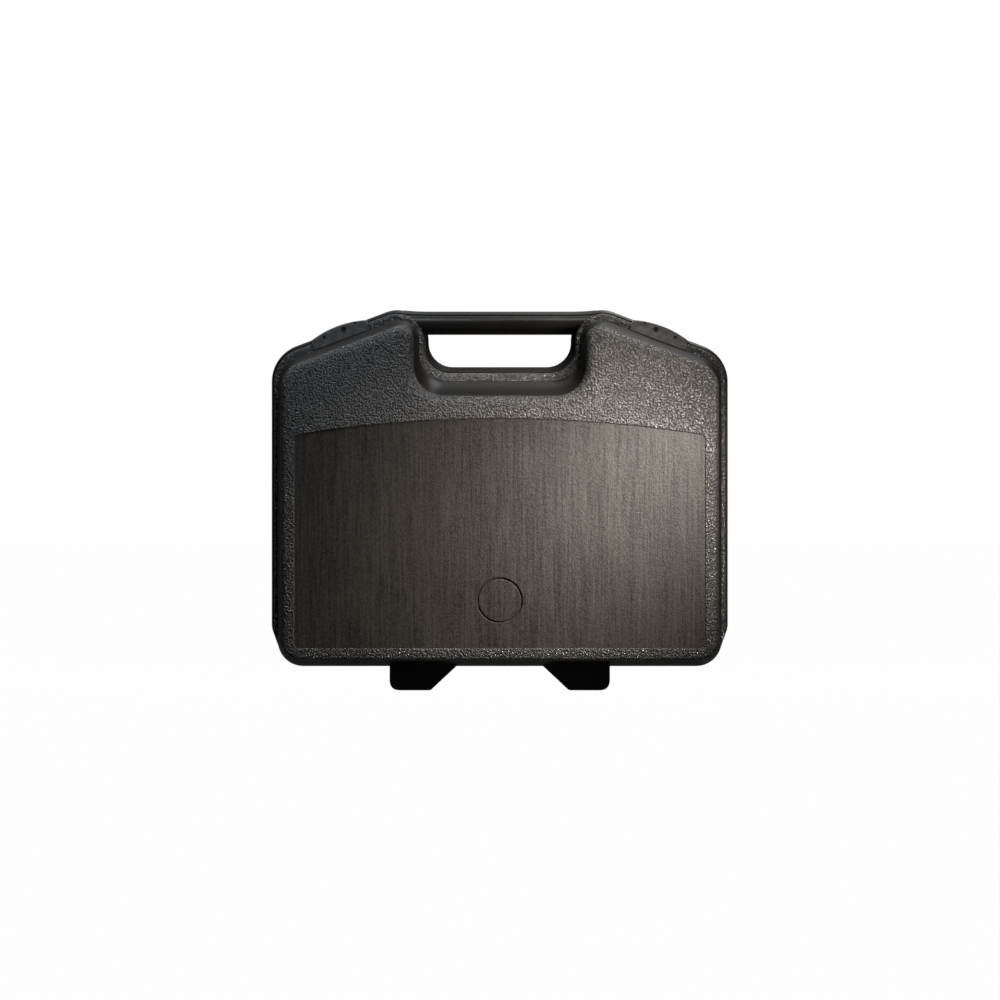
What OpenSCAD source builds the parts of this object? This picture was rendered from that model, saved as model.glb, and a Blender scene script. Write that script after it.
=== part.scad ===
// Blow-moulded carrying case for a microphone. Two double-walled halves turn on a pinned hinge that is
// also the pair of feet. Each half carries half of the handle, two snap latches on the shoulders hold
// the halves shut, and die-cut foam inside holds the microphone and its accessories.
// X runs across the case, Y from front to back with the parting plane at 0, Z up from the floor.
// Sizes are in millimetres.

/* [Case] */
// Width over the rim
case_w = 360; // [320:5:440]
// Height from the floor to the top of the rim's humps
case_h = 300; // [280:5:340]
// Depth of each half, from the parting plane to its face
half_depth = 55; // [48:1:75]
// Height of the underside of the body over the floor
foot_h = 18.9; // [17:0.1:26]
// Clear gap between the two halves when shut
parting_gap = 0.3; // [0.1:0.05:0.6]

/* [Outline] */
// Fall of each shoulder, in degrees
shoulder_slope = 20.7; // [12:0.1:26]
// Radius of the outer top corners of the rim
top_corner_r = 30; // [22:1:40]
// Radius of the bottom corners of the body
bottom_corner_r = 20; // [14:1:26]
// Radius of the rim's hump on each side of the handle
hump_r = 24.7; // [23.5:0.1:28]
// Width of the opening between the humps
grip_gap_w = 112; // [100:1:130]
// Height of the finger space between the handle and the rim below it
finger_room = 25.3; // [22:0.1:32]
// Radius of the lower corners of the finger space
grip_corner_r = 19; // [12:1:22]
// Height over the floor at which the rim begins to run out into the body
rim_end_z = 49; // [44:1:70]

/* [Rim] */
// Depth of the rim on each half
rim_depth = 13; // [12:0.5:16]
// How far the rim stands out from the body along the shoulders
rim_top_w = 8.6; // [8.2:0.1:11]
// How far the rim stands out from the body at the sides
rim_side_w = 5; // [4:0.5:8]
// How far the rim stands out beside the handle
rim_grip_w = 7.5; // [7:0.1:10]
// How far the rim stands out below the handle
rim_gap_w = 11; // [9:0.5:13]
// Radius of the rim's outer front edge
rim_edge_r = 4; // [3:0.5:4.5]
// Width of the rim's tapered flange seen from the front, along the shoulders
flange_w = 1.6; // [1:0.1:2.2]
// Width of that flange below the handle
flange_gap_w = 4; // [2:0.1:5]
// Depth of the flange from the parting plane
flange_d = 5; // [3:0.5:6]
// Step from the flange down to the rim's rounded bead
rim_step = 1.3; // [0.5:0.1:1.6]

/* [Body] */
// Lean of the side walls towards the face, along the shoulders
lean_top = 5; // [2:0.5:7]
// Lean of the side walls at the two sides
lean_side = 2.5; // [1:0.5:4]
// Lean of the wall below the body
lean_foot = 4; // [2:0.5:5]
// Depth of the scooped wall below the handle
scoop = 12; // [8:1:16]
// Radius that rounds the wall into the face
face_round = 8; // [5:0.5:9]
// Crown of the face from its rounded edge up to the panel
face_crown = 0.6; // [0.2:0.1:1.5]
// Thickness of each plastic skin
skin = 2; // [1.5:0.1:2.5]

/* [Face panel] */
// Width of the smooth panel on each face
panel_w = 324; // [280:2:330]
// Height of the panel's bottom edge over the floor
panel_low_z = 32.8; // [30:0.2:60]
// Height of the panel's top corners over the floor
panel_high_z = 201.3; // [170:0.2:208]
// Rise of the arched top edge in its middle
panel_arch = 13.1; // [6:0.1:16]
// Depth of the panel below the grained face
panel_recess = 0.8; // [0.4:0.1:1.2]
// Radius of the panel's corners
panel_corner_r = 4; // [2:0.5:10]
// Radius of the round recess in the front panel
dish_r = 17.6; // [10:0.1:30]
// Height of the round recess over the floor
dish_z = 71; // [66:1:120]
// Depth of the round recess below the panel
dish_depth = 0.6; // [0.3:0.1:0.8]

/* [Tray] */
// Width of the land between the body's wall and the mouth of the tray
land_w = 14; // [13:0.5:20]
// Clearance between the tray's floor and the outer skin of the face
floor_gap = 9; // [7:0.5:14]
// Taper of the tray's walls over their depth
tray_draft = 3; // [1:0.5:4]
// Radius of the tray's corners
tray_r = 10; // [6:1:14]
// Height of the sealing tongue on the rear half
tongue_h = 2; // [1:0.25:2.5]
// Width of the sealing tongue
tongue_w = 2.4; // [1.6:0.2:3]
// Clearance of the tongue in its groove
tongue_gap = 0.4; // [0.2:0.05:0.5]

/* [Handle] */
// Height of the handle's section
handle_h = 18.5; // [15:0.5:22]
// Depth of each half of the handle
handle_d = 11; // [8:0.5:12]
// Drop of the handle's top below the humps
handle_drop = 1.2; // [0.6:0.1:3]
// Radius of the handle's front edges
handle_r = 8; // [4:0.5:8.5]

/* [Hinge feet] */
// Distance from the middle of the case to the outer side of each foot
foot_out = 86.8; // [80:0.2:110]
// Distance from the middle to the inner end of the sole
foot_sole_in = 54.5; // [50:0.5:60]
// Distance from the middle to the inner end of the foot under the body
foot_root_in = 34.3; // [20:0.5:45]
// Depth of each foot from the parting plane
foot_d = 24; // [18:1:36]
// Radius of the foot's outer bottom corner
foot_corner_r = 7; // [3:0.5:8]
// Radius along the sole's front and back edges
foot_edge_r = 3; // [1:0.5:5]
// Thickness of the wall that closes the front of each foot
foot_wall = 4; // [2.5:0.5:5]
// Clearance round the hinge inside each foot
foot_gap = 0.6; // [0.4:0.1:1]
// Height of the hinge axis over the floor
hinge_z = 9; // [8:0.1:9.2]
// Width of the rear half's knuckle in the middle of each foot
knuckle_w = 12; // [8:0.5:16]
// Distance from the middle of the case to the middle of the rear knuckle
knuckle_x = 66; // [64:0.5:70]
// Side gap between the rear knuckle and the foot round it
knuckle_gap = 0.4; // [0.2:0.1:0.8]
// Radius of the steel hinge pin
hinge_pin_r = 2; // [1.5:0.1:3]

/* [Latches] */
// Distance from the middle of the case to the middle of each latch
latch_x = 127.3; // [120:0.5:134]
// Length of a latch along the shoulder
latch_len = 47; // [36:1:56]
// Rise of the latch's arched back
latch_crown = 3.7; // [1:0.1:5]
// Thickness of the latch's bridge at its ends
latch_t = 3.4; // [2.5:0.1:4]
// Thickness of the latch's front plate
latch_plate_t = 2.1; // [1.6:0.1:2.6]
// Radius of the steel latch pin
latch_pin_r = 1.5; // [1.2:0.1:1.7]
// Radius of the barrel around the latch pin
latch_barrel_r = 3.2; // [2.8:0.1:3.3]
// Clear gap round a latch in its seat
latch_gap = 0.4; // [0.3:0.05:0.6]

/* [Foam] */
// Clearance between the foam and the tray
foam_gap = 0.4; // [0.3:0.05:1]
// Thickness of the backing sheet below the cut-outs
backing_t = 8; // [5:1:12]
// Set-back of the foam from the parting plane
foam_set = 1.2; // [1:0.1:3]
// Depth of the valleys in the lid's convoluted foam
valley = 12; // [6:1:16]
// Spacing of the peaks in the lid's convoluted foam
peak_pitch = 36; // [32:1:48]
// Foam left between the cut-outs and the tray
foam_edge = 17; // [12:1:20]
// Foam left between the two rows of cut-outs
foam_web = 16; // [10:1:18]
// Length of the microphone's cut-out
mic_l = 196; // [150:2:200]
// Width of the microphone's cut-out at its head
mic_w = 56; // [46:1:58]
// Length of the wide part of that cut-out
mic_head_l = 80; // [50:1:100]
// Width of that cut-out along the microphone's body
mic_body_w = 48; // [36:1:50]
// Radius of the finger notches beside the microphone
finger_r = 14; // [8:0.5:15]
// Diameter of the shock mount's cut-out
mount_d = 92; // [80:1:94]
// Width of the cable's cut-out
cable_w = 118; // [90:2:124]
// Height of the cable's cut-out
cable_h = 76; // [50:2:80]
// Diameter of the thread adapter's cut-out
adapter_d = 46; // [34:1:50]

/* [Hidden] */

shell_colour = [0.12, 0.11, 0.10];
latch_colour = [0.22, 0.23, 0.24];
steel_colour = [0.72, 0.73, 0.75];
foam_colour = [0.20, 0.20, 0.21];

// Segments in the arcs of the moulded outline, and facets of the true rounds
bottom_steps = 5;
top_steps = 6;
hump_steps = 8;
grip_steps = 6;
edge_steps = 3;
corner_steps = 5;
round_fn = 64;
running_fit = 0.05;
pressed_fit = 0.02;

land_y = parting_gap / 2;
half_w = case_w / 2;
tuck = 0.6;
rim_foot_w = 0.6;
tray_bevel = 2;

// The shoulder line: the points with normal . point = shoulder_c
normal_x = sin(shoulder_slope);
normal_z = cos(shoulder_slope);
grip_x = grip_gap_w / 2;
hump_x = grip_x + hump_r;
shoulder_c = normal_x * hump_x + normal_z * (case_h - hump_r) + hump_r;
hub_x = hump_x + 30;
handle_top = case_h - handle_drop;
handle_low = handle_top - handle_h;
grip_floor = handle_low - finger_room;
hub_z = (grip_floor + foot_h) / 2;

// Places along the outline, as insets from the rim: side, bottom, shoulder, beside and below the handle
rim_root = [0, 0, 0, 0, 0];
rim_flange = [flange_w / 2, 0.05, flange_w, flange_w * 1.5, flange_gap_w];
bead_foot = rim_flange + rim_step * [0.5, 0.03, 1, 0.8, 0.8];
rim_shaft = bead_foot + [0.1, 0.01, 0.2, 0.2, 0.2];
rim_front = rim_shaft + [rim_edge_r * 0.6, 0.3, rim_edge_r, rim_edge_r - 1, rim_edge_r];
wall_root = [rim_side_w, rim_foot_w, rim_top_w, rim_grip_w, rim_gap_w];
wall_end = wall_root + [lean_side, lean_foot, lean_top, lean_top - 1, scoop];
face_edge = wall_end + [face_round / 2, face_round / 3, face_round, face_round, face_round];
every = [1, 1, 1, 1, 1];
tray_mouth = wall_root + land_w * every;
tray_floor = tray_mouth + tray_draft * every;
tongue_out = wall_root + 5 * every;
tongue_in = tongue_out + tongue_w * every;

wall_end_y = half_depth - face_round;
face_y = half_depth - face_crown;
tray_y = half_depth - floor_gap - skin;
void_y = land_y + tongue_h + tongue_gap + skin;
rim_bend_y = rim_depth - rim_edge_r;

// Hinge and latch places
lug_top = foot_h + skin;
knuckle_r = hinge_z - 0.1;
latch_z = (shoulder_c - normal_x * latch_x) / normal_z;
pin_y = 5.5;
pin_v = -rim_top_w / 2;
latch_end_v = -0.2;
latch_low_v = -rim_top_w + 0.2;
seat_v = latch_end_v - latch_t - latch_gap;
latch_front_y = -rim_depth;
catch_y = latch_front_y + latch_plate_t + latch_gap;
catch_v = -rim_top_w + 2.4;
catch_r = 1;
catch_len = latch_len * 0.6;
foot_reach = 4;
latch_pin_len = latch_len + 12;

// Foam places
foam_back_y = tray_y - foam_gap;
tray_x = half_w - tray_mouth[0];
mic_from = foam_edge + 5 - tray_x;
finger_x = mic_from + mic_l * 0.62;
mic_z = foot_h + tray_mouth[1] + foam_edge + mic_w / 2;
upper_z = mic_z + mic_w / 2 + foam_web;
mount_x = foam_edge + 13 + mount_d / 2 - tray_x;
adapter_x = tray_x - foam_edge - 16 - adapter_d / 2;
hinge_pin_in = foot_sole_in - 4;
hinge_pin_out = foot_out - 1;

function arc(x, z, r, from, to, steps) =
    [for (i = [0:steps]) let (a = from + (to - from) * i / steps) [x + r * cos(a), z + r * sin(a)]];

function mirrored(points) =
    [for (i = [len(points) - 1:-1:0]) [-points[i][0], points[i][1]]];

// Half of the case's outline at the given insets, from the middle of the bottom up to the handle
function half_outline(inset, r_min, bottom_turn) =
    let (side_x = half_w - inset[0],
        low_z = foot_h + inset[1],
        line_c = shoulder_c - inset[2],
        inner_x = grip_x + inset[3],
        floor_z = grip_floor - inset[4],
        bottom_r = max(r_min, bottom_corner_r - max(max(inset[0], rim_side_w) - rim_side_w, inset[1])),
        top_r = max(r_min, top_corner_r - 0.7 * inset[2]),
        peak_r = max(r_min, hump_r - inset[2]),
        grip_r = grip_corner_r + 0.2 * inset[4],
        corner_x = min(side_x, half_w - rim_side_w) - bottom_r,
        top_z = (line_c - top_r - normal_x * (side_x - top_r)) / normal_z,
        peak_z = (line_c - peak_r - normal_x * (inner_x + peak_r)) / normal_z)
    concat(
        bottom_turn < 0
            ? concat(arc(corner_x, low_z + bottom_r, bottom_r, -90, bottom_turn, bottom_steps),
                [[side_x, rim_end_z]])
            : arc(corner_x, low_z + bottom_r, bottom_r, -90, 0, bottom_steps + 1),
        arc(side_x - top_r, top_z, top_r, 0, 90 - shoulder_slope, top_steps),
        arc(inner_x + peak_r, peak_z, peak_r, 90 - shoulder_slope, 180, hump_steps),
        arc(inner_x - grip_r, floor_z + grip_r, grip_r, 0, -90, grip_steps));

// A closed ring of the outline at depth y. The rim leaves the bottom corner early and runs straight out.
function ring(inset, y, r_min = 2) =
    let (turn = inset[0] < rim_side_w ? -21 : 0,
        half = half_outline(inset, r_min, turn))
    [for (p = concat(half, mirrored(half))) [p[0], y, p[1]]];

// Rings round the edge between two places on the outline, turning from the wall into the face
function rounded_rings(from, to, y_from, y_to, steps, r_min = 2) =
    [for (i = [0:steps]) let (a = 90 * i / steps)
        ring(from + (1 - cos(a)) * (to - from), y_from + sin(a) * (y_to - y_from), r_min)];

// Half of the face panel's outline, grown outwards, point for point with half_outline
function half_panel(grow) =
    let (r = panel_corner_r + grow,
        x = panel_w / 2,
        arch_r = (x * x + panel_arch * panel_arch) / (2 * panel_arch),
        arch_z = panel_high_z + panel_arch - arch_r,
        corner_x = x + grow - r,
        corner_z = arch_z + sqrt(pow(arch_r + grow - r, 2) - corner_x * corner_x),
        corner_turn = atan2(corner_z - arch_z, corner_x),
        arch_steps = hump_steps + grip_steps + 2)
    concat(
        arc(corner_x, panel_low_z - grow + r, r, -90, 0, bottom_steps + 1),
        arc(corner_x, corner_z, r, 0, corner_turn, top_steps),
        [for (i = [1:arch_steps]) let (a = corner_turn + (90 - corner_turn) * i / (arch_steps + 0.5))
            [(arch_r + grow) * cos(a), arch_z + (arch_r + grow) * sin(a)]]);

function panel_ring(grow, y) =
    let (half = half_panel(grow))
    [for (p = concat(half, mirrored(half))) [p[0], y, p[1]]];

// Triangles that close a ring starting at point n: a fan round a hub in each half of the case, because
// the ring is hollow at the handle, and the middle between the two fans
function cap(n, hub, half) = concat(
    [for (i = [0:half - 1]) [hub, n + i, n + (i + 1) % half]],
    [for (i = [0:half - 1]) [hub + 1, n + half + i, n + half + (i + 1) % half]],
    [[n, n + half - 1, n + half], [n, n + half, n + 2 * half - 1]]);

function flipped(faces) = [for (f = faces) [f[2], f[1], f[0]]];

// A solid skinned over closed rings of equal length, with both ends capped
module loft(rings) {
    count = len(rings[0]);
    last = (len(rings) - 1) * count;
    hubs = len(rings) * count;
    points = concat([for (r = rings) each r],
        [for (r = [rings[0], rings[len(rings) - 1]], side = [1, -1]) [side * hub_x, r[0][1], hub_z]]);
    walls = [for (k = [0:len(rings) - 2]) for (i = [0:count - 1])
        let (j = (i + 1) % count, a = k * count, b = a + count)
        each [[a + i, a + j, b + j], [a + i, b + j, b + i]]];
    polyhedron(points, concat(walls,
        flipped(cap(0, hubs, count / 2)),
        cap(last, hubs + 2, count / 2)));
}

// One double-walled half, opening towards the parting plane. A positive lip is the sealing tongue and
// a negative one its groove.
module half_blank(lip) {
    slack = lip > 0 ? 0 : tongue_gap;
    lip_y = land_y - lip * (tongue_h + slack);
    difference() {
        loft(concat(
            [ring(tray_floor + tray_bevel * every, tray_y, tray_r),
                ring(tray_floor, tray_y - tray_bevel, tray_r),
                ring(tray_mouth, land_y, tray_r),
                ring(tongue_in + slack * every, land_y),
                ring(tongue_in + slack * every, lip_y),
                ring(tongue_out - slack * every, lip_y),
                ring(tongue_out - slack * every, land_y),
                ring(rim_root, land_y),
                ring(rim_flange, flange_d),
                ring(bead_foot, flange_d)],
            rounded_rings(rim_shaft, rim_front, rim_bend_y, rim_depth, edge_steps),
            [ring(wall_root, rim_depth),
                ring((wall_root * 2 + wall_end) / 3, (rim_depth + wall_end_y) / 2)],
            rounded_rings(wall_end, face_edge, wall_end_y, face_y, edge_steps),
            [panel_ring(0, half_depth),
                panel_ring(-panel_recess / 2, half_depth - panel_recess)]));
        loft(concat(
            [ring(tray_floor - skin * every, tray_y + skin, tray_r + skin),
                ring(tray_mouth - skin * every, void_y, tray_r + skin),
                ring(wall_root + skin * every, void_y),
                ring(wall_root + skin * every, rim_depth),
                ring((wall_root * 2 + wall_end) / 3 + skin * every, (rim_depth + wall_end_y) / 2)],
            rounded_rings(wall_end + skin * every, face_edge + skin * every,
                wall_end_y, face_y - skin, edge_steps - 1),
            [panel_ring(skin, half_depth - panel_recess - skin)]));
    }
}

module dish_cut() {
    translate([0, half_depth - panel_recess - dish_depth, dish_z])
        rotate([-90, 0, 0]) cylinder(r = dish_r, h = half_depth, $fn = round_fn);
}

// Half of the handle, whose ends run into the rim of the humps and stop short of the tongue
module half_handle() {
    reach = grip_x + hump_r * 0.8;
    taper = 0.8;
    section = concat(
        [[land_y, handle_low], [land_y, handle_top]],
        [for (p = arc(handle_d - handle_r, handle_top - taper - handle_r, handle_r, 90, 0, corner_steps)) p],
        [for (p = arc(handle_d - handle_r, handle_low + taper + handle_r, handle_r, 0, -90, corner_steps)) p]);
    difference() {
        translate([-reach, 0, 0]) rotate([90, 0, 90]) linear_extrude(2 * reach) polygon(section);
        both_sides() translate([hump_x, -1, case_h - hump_r]) rotate([-90, 0, 0])
            cylinder(r = hump_r - rim_top_w - skin / 2, h = handle_d + 2, $fn = round_fn);
    }
}

// Front view of one foot: straight outer side, flat sole and a slanted inner side
function foot_outline() =
    let (slant = (foot_sole_in - foot_root_in) / foot_h)
    concat(
        [[foot_root_in - slant * skin, lug_top], [foot_sole_in, 0]],
        arc(foot_out - foot_corner_r, foot_corner_r, foot_corner_r, 270, 360, corner_steps),
        [[foot_out, lug_top]]);

// Side view of a foot on its own half: a block with a rounded sole edge, and the knuckle round the pin
module lug_section() {
    circle(r = knuckle_r, $fn = round_fn);
    translate([0, -hinge_z]) polygon(concat(
        [[0, lug_top], [0, 0]],
        arc(foot_d - foot_edge_r, foot_edge_r, foot_edge_r, 270, 360, corner_steps),
        [[foot_d, lug_top]]));
}

// The front half's right foot, closed in front and with a pocket for the rear half's knuckle
module foot() {
    difference() {
        foot_lug(foot_root_in - foot_reach, foot_out + 1);
        translate([knuckle_x - knuckle_w / 2 - knuckle_gap, -foot_d, -1])
            cube([knuckle_w + 2 * knuckle_gap, 2 * foot_d - foot_wall, lug_top + 2]);
    }
}

// The rear half's knuckle, short enough to pass inside the front wall of the foot as the case opens
module knuckle() {
    intersection() {
        foot_lug(knuckle_x - knuckle_w / 2, knuckle_x + knuckle_w / 2);
        translate([0, 0, hinge_z]) rotate([0, 90, 0])
            cylinder(r = foot_d - foot_wall - foot_gap, h = foot_out, $fn = round_fn);
    }
}

// The part of the right foot between two distances from the middle, on the rear half
module foot_lug(x_in, x_out) {
    intersection() {
        translate([0, foot_d + 1, 0])
            rotate([90, 0, 0]) linear_extrude(foot_d + knuckle_r + 2) polygon(foot_outline());
        translate([x_in, 0, hinge_z])
            rotate([90, 0, 90]) linear_extrude(x_out - x_in) lug_section();
    }
}

module hinge_bore(r) {
    translate([hinge_pin_in, 0, hinge_z]) rotate([0, 90, 0]) cylinder(r = r, h = foot_out, $fn = round_fn);
}

module both_sides() {
    children();
    mirror([1, 0, 0]) children();
}

// Places its children on the right shoulder: X along the shoulder, Z out of it
module on_shoulder() {
    translate([latch_x, 0, latch_z]) rotate([0, shoulder_slope, 0]) children();
}

module shoulder_box(y_from, y_to, v_from, v_to, length) {
    translate([-length / 2, y_from, v_from]) cube([length, y_to - y_from, v_to - v_from]);
}

module along_shoulder(y, v, r, length) {
    translate([-length / 2, y, v]) rotate([0, 90, 0]) cylinder(r = r, h = length, $fn = round_fn);
}

seat_len = latch_len + 2 * latch_gap;
clear_v = latch_crown + 8;

// The seat that the latch's bridge and front plate close into, on the front half
module latch_seat_front() {
    on_shoulder() {
        shoulder_box(latch_front_y - 1, 1, seat_v, clear_v, seat_len);
        shoulder_box(latch_front_y - tuck, catch_y, -rim_top_w - tuck, clear_v, seat_len);
    }
}

// The seat on the rear half, with room for the barrel and open at the back
module latch_seat_rear() {
    on_shoulder() {
        shoulder_box(-1, pin_y, seat_v, clear_v, seat_len);
        shoulder_box(pin_y - latch_barrel_r - latch_gap, rim_depth + 1,
            pin_v - latch_barrel_r - latch_gap, clear_v, seat_len);
        along_shoulder(pin_y, pin_v, latch_pin_r + pressed_fit, latch_pin_len + 1);
    }
}

// The ridge that a latch's front plate snaps over, or the groove for it
module snap_ridge(grow) {
    along_shoulder(catch_y + catch_r - latch_gap, catch_v, catch_r + grow, catch_len + 2 * grow);
}

module lid_shell() {
    color(shell_colour) mirror([0, 1, 0]) {
        difference() {
            union() {
                half_blank(-1);
                half_handle();
                both_sides() foot();
            }
            dish_cut();
            both_sides() {
                hinge_bore(hinge_pin_r + pressed_fit);
                mirror([0, 1, 0]) latch_seat_front();
            }
        }
        both_sides() mirror([0, 1, 0]) on_shoulder() snap_ridge(0);
    }
}

module base_shell() {
    color(shell_colour) difference() {
        union() {
            half_blank(1);
            half_handle();
            both_sides() knuckle();
        }
        both_sides() {
            hinge_bore(hinge_pin_r + running_fit);
            latch_seat_rear();
        }
    }
}

// The latch closed on the right shoulder: an arched bridge, a front plate over the rim and a barrel
module latch() {
    arch_r = (latch_len * latch_len / 4 + latch_crown * latch_crown) / (2 * latch_crown);
    on_shoulder() difference() {
        union() {
            intersection() {
                shoulder_box(latch_front_y, pin_y + 1, latch_low_v, clear_v, latch_len);
                translate([0, rim_depth * 2, latch_end_v + latch_crown - arch_r])
                    rotate([90, 0, 0]) cylinder(r = arch_r, h = rim_depth * 4, $fn = round_fn * 4);
            }
            along_shoulder(pin_y, pin_v, latch_barrel_r, latch_len);
        }
        difference() {
            shoulder_box(latch_front_y + latch_plate_t, pin_y + 2, -rim_top_w - 1,
                latch_end_v - latch_t, latch_len + 2);
            along_shoulder(pin_y, pin_v, latch_barrel_r, latch_len + 4);
        }
        along_shoulder(pin_y, pin_v, latch_pin_r + running_fit, latch_len + 2);
        snap_ridge(latch_gap);
    }
}

module latch_pin() {
    on_shoulder() along_shoulder(pin_y, pin_v, latch_pin_r, latch_pin_len);
}

module hinge_pin() {
    translate([hinge_pin_in + 0.5, 0, hinge_z])
        rotate([0, 90, 0]) cylinder(r = hinge_pin_r, h = hinge_pin_out - hinge_pin_in - 0.5, $fn = round_fn);
}

// A straight-sided slab of foam, cut to the outline of the tray's floor
module tray_foam(y_from, y_to) {
    outline = ring(tray_floor + (tray_bevel + foam_gap) * every, 0, tray_r);
    translate([0, y_to, 0]) rotate([90, 0, 0])
        linear_extrude(y_to - y_from) polygon([for (p = outline) [p[0], p[2]]]);
}

// A block whose face rises in even rows of peaks, larger than the tray so that the tray trims it
module peaked_block(y_face, y_back) {
    step = peak_pitch / 4;
    phase = 20;
    across = ceil(half_w / step);
    up = ceil(case_h / step);
    columns = 2 * across + 1;
    heights = [for (k = [0:up]) for (i = [-across:across])
        [i * step, y_face + valley * (1 - cos(90 * i + phase) * cos(90 * k + phase)) / 2, k * step]];
    cells = [for (k = [0:up - 1]) for (i = [0:columns - 2]) let (a = k * columns + i, b = a + columns)
        each [[a, a + 1, b + 1], [a, b + 1, b]]];
    border = concat(
        [for (i = [0:columns - 2]) i],
        [for (k = [0:up - 1]) k * columns + columns - 1],
        [for (i = [columns - 1:-1:1]) up * columns + i],
        [for (k = [up:-1:1]) k * columns]);
    backs = [for (b = border) [heights[b][0], y_back, heights[b][2]]];
    n = len(heights);
    around = len(border);
    sides = [for (i = [0:around - 1]) let (j = (i + 1) % around)
        each [[border[j], border[i], n + i], [border[j], n + i, n + j], [n + j, n + i, n + around]]];
    polyhedron(concat(heights, backs, [[0, y_back, case_h / 2]]), concat(cells, sides));
}

function rounded_box(x_from, x_to, z_from, z_to, r) = concat(
    arc(x_to - r, z_from + r, r, 270, 360, corner_steps),
    arc(x_to - r, z_to - r, r, 0, 90, corner_steps),
    arc(x_from + r, z_to - r, r, 90, 180, corner_steps),
    arc(x_from + r, z_from + r, r, 180, 270, corner_steps));

module die_cut() {
    for (k = [0:$children - 1])
        translate([0, tray_y, 0]) rotate([90, 0, 0]) linear_extrude(tray_y + 1) children(k);
}

module mic_cut() {
    die_cut() {
        polygon(rounded_box(mic_from, mic_from + mic_head_l, mic_z - mic_w / 2, mic_z + mic_w / 2, mic_w / 3));
        polygon(rounded_box(mic_from + mic_head_l / 2, mic_from + mic_l,
            mic_z - mic_body_w / 2, mic_z + mic_body_w / 2, 6));
        translate([finger_x, mic_z - mic_body_w / 2]) circle(r = finger_r, $fn = round_fn);
        translate([finger_x, mic_z + mic_body_w / 2]) circle(r = finger_r, $fn = round_fn);
    }
}

module accessory_cuts() {
    die_cut() {
        translate([mount_x, upper_z + mount_d / 2]) circle(r = mount_d / 2, $fn = round_fn);
        translate([adapter_x, mic_z]) circle(r = adapter_d / 2, $fn = round_fn);
        polygon(rounded_box(tray_x - foam_edge - 7 - cable_w, tray_x - foam_edge - 7,
            upper_z + (mount_d - cable_h) / 2, upper_z + (mount_d + cable_h) / 2, 12));
    }
}

module lid_foam() {
    color(foam_colour) mirror([0, 1, 0]) intersection() {
        tray_foam(foam_set - 1, foam_back_y);
        peaked_block(foam_set, tray_y);
    }
}

module foam_backing() {
    color(foam_colour * 1.3) tray_foam(foam_back_y - backing_t, foam_back_y);
}

module foam_insert() {
    color(foam_colour) difference() {
        tray_foam(foam_set, foam_back_y - backing_t);
        mic_cut();
        accessory_cuts();
    }
}

lid_shell();
base_shell();
lid_foam();
foam_backing();
foam_insert();
mirror([1, 0, 0]) latch();  // latch_left
latch();  // latch_right
mirror([1, 0, 0]) latch_pin();  // latch_pin_left
latch_pin();  // latch_pin_right
mirror([1, 0, 0]) hinge_pin();  // hinge_pin_left
hinge_pin();  // hinge_pin_right
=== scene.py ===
"""A moulded microphone case, dressed for the studio.

Two double-walled halves with a moulded handle, feet that are the hinge, snap latches on the shoulders, and foam
inside. Sizes are in millimetres; a piece turns them into metres when its mesh is made.
"""
import logging
import math
from dataclasses import astuple, dataclass, field
from enum import Enum
from typing import Any, Iterable, Sequence

import bmesh
import bpy
from bmesh.types import BMEdge, BMesh, BMFace, BMVert
from bpy.types import Material, NodeSocket, Object
from mathutils import Matrix, Vector


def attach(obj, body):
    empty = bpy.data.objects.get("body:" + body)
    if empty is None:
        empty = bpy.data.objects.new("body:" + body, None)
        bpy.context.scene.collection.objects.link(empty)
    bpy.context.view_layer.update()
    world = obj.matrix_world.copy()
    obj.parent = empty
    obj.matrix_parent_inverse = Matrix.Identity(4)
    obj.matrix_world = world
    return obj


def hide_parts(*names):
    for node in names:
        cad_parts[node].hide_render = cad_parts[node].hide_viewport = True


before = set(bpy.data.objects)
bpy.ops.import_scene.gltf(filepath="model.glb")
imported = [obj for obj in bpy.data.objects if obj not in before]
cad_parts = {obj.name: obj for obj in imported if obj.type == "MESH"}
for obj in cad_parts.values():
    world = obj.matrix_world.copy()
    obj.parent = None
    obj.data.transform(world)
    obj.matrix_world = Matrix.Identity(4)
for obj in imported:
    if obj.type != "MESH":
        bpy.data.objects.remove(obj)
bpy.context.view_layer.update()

MM = 0.001
TINY = 1e-6
EVEN = (1.0, 1.0, 1.0)
Point = tuple[float, float]
Triple = tuple[float, float, float]
log = logging.getLogger("case")


class Side(Enum):
    """The half of the case that a piece belongs to; the value is the sign of its depth."""

    FRONT = -1
    REAR = 1


class Band(Enum):
    """The finishes on one moulded half; the value is the slot of the material."""

    SMOOTH = 0
    GRAIN = 1
    PANEL = 2
    TRAY = 3


class Axis(Enum):
    """The direction that an outline is extruded in."""

    X = 0
    Y = 1


class Join(Enum):
    """What a shape does to a piece; the value is the Boolean's name."""

    CUT = "DIFFERENCE"
    ADD = "UNION"
    KEEP = "INTERSECT"


# ---------------------------------------------------------------- shader books


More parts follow.
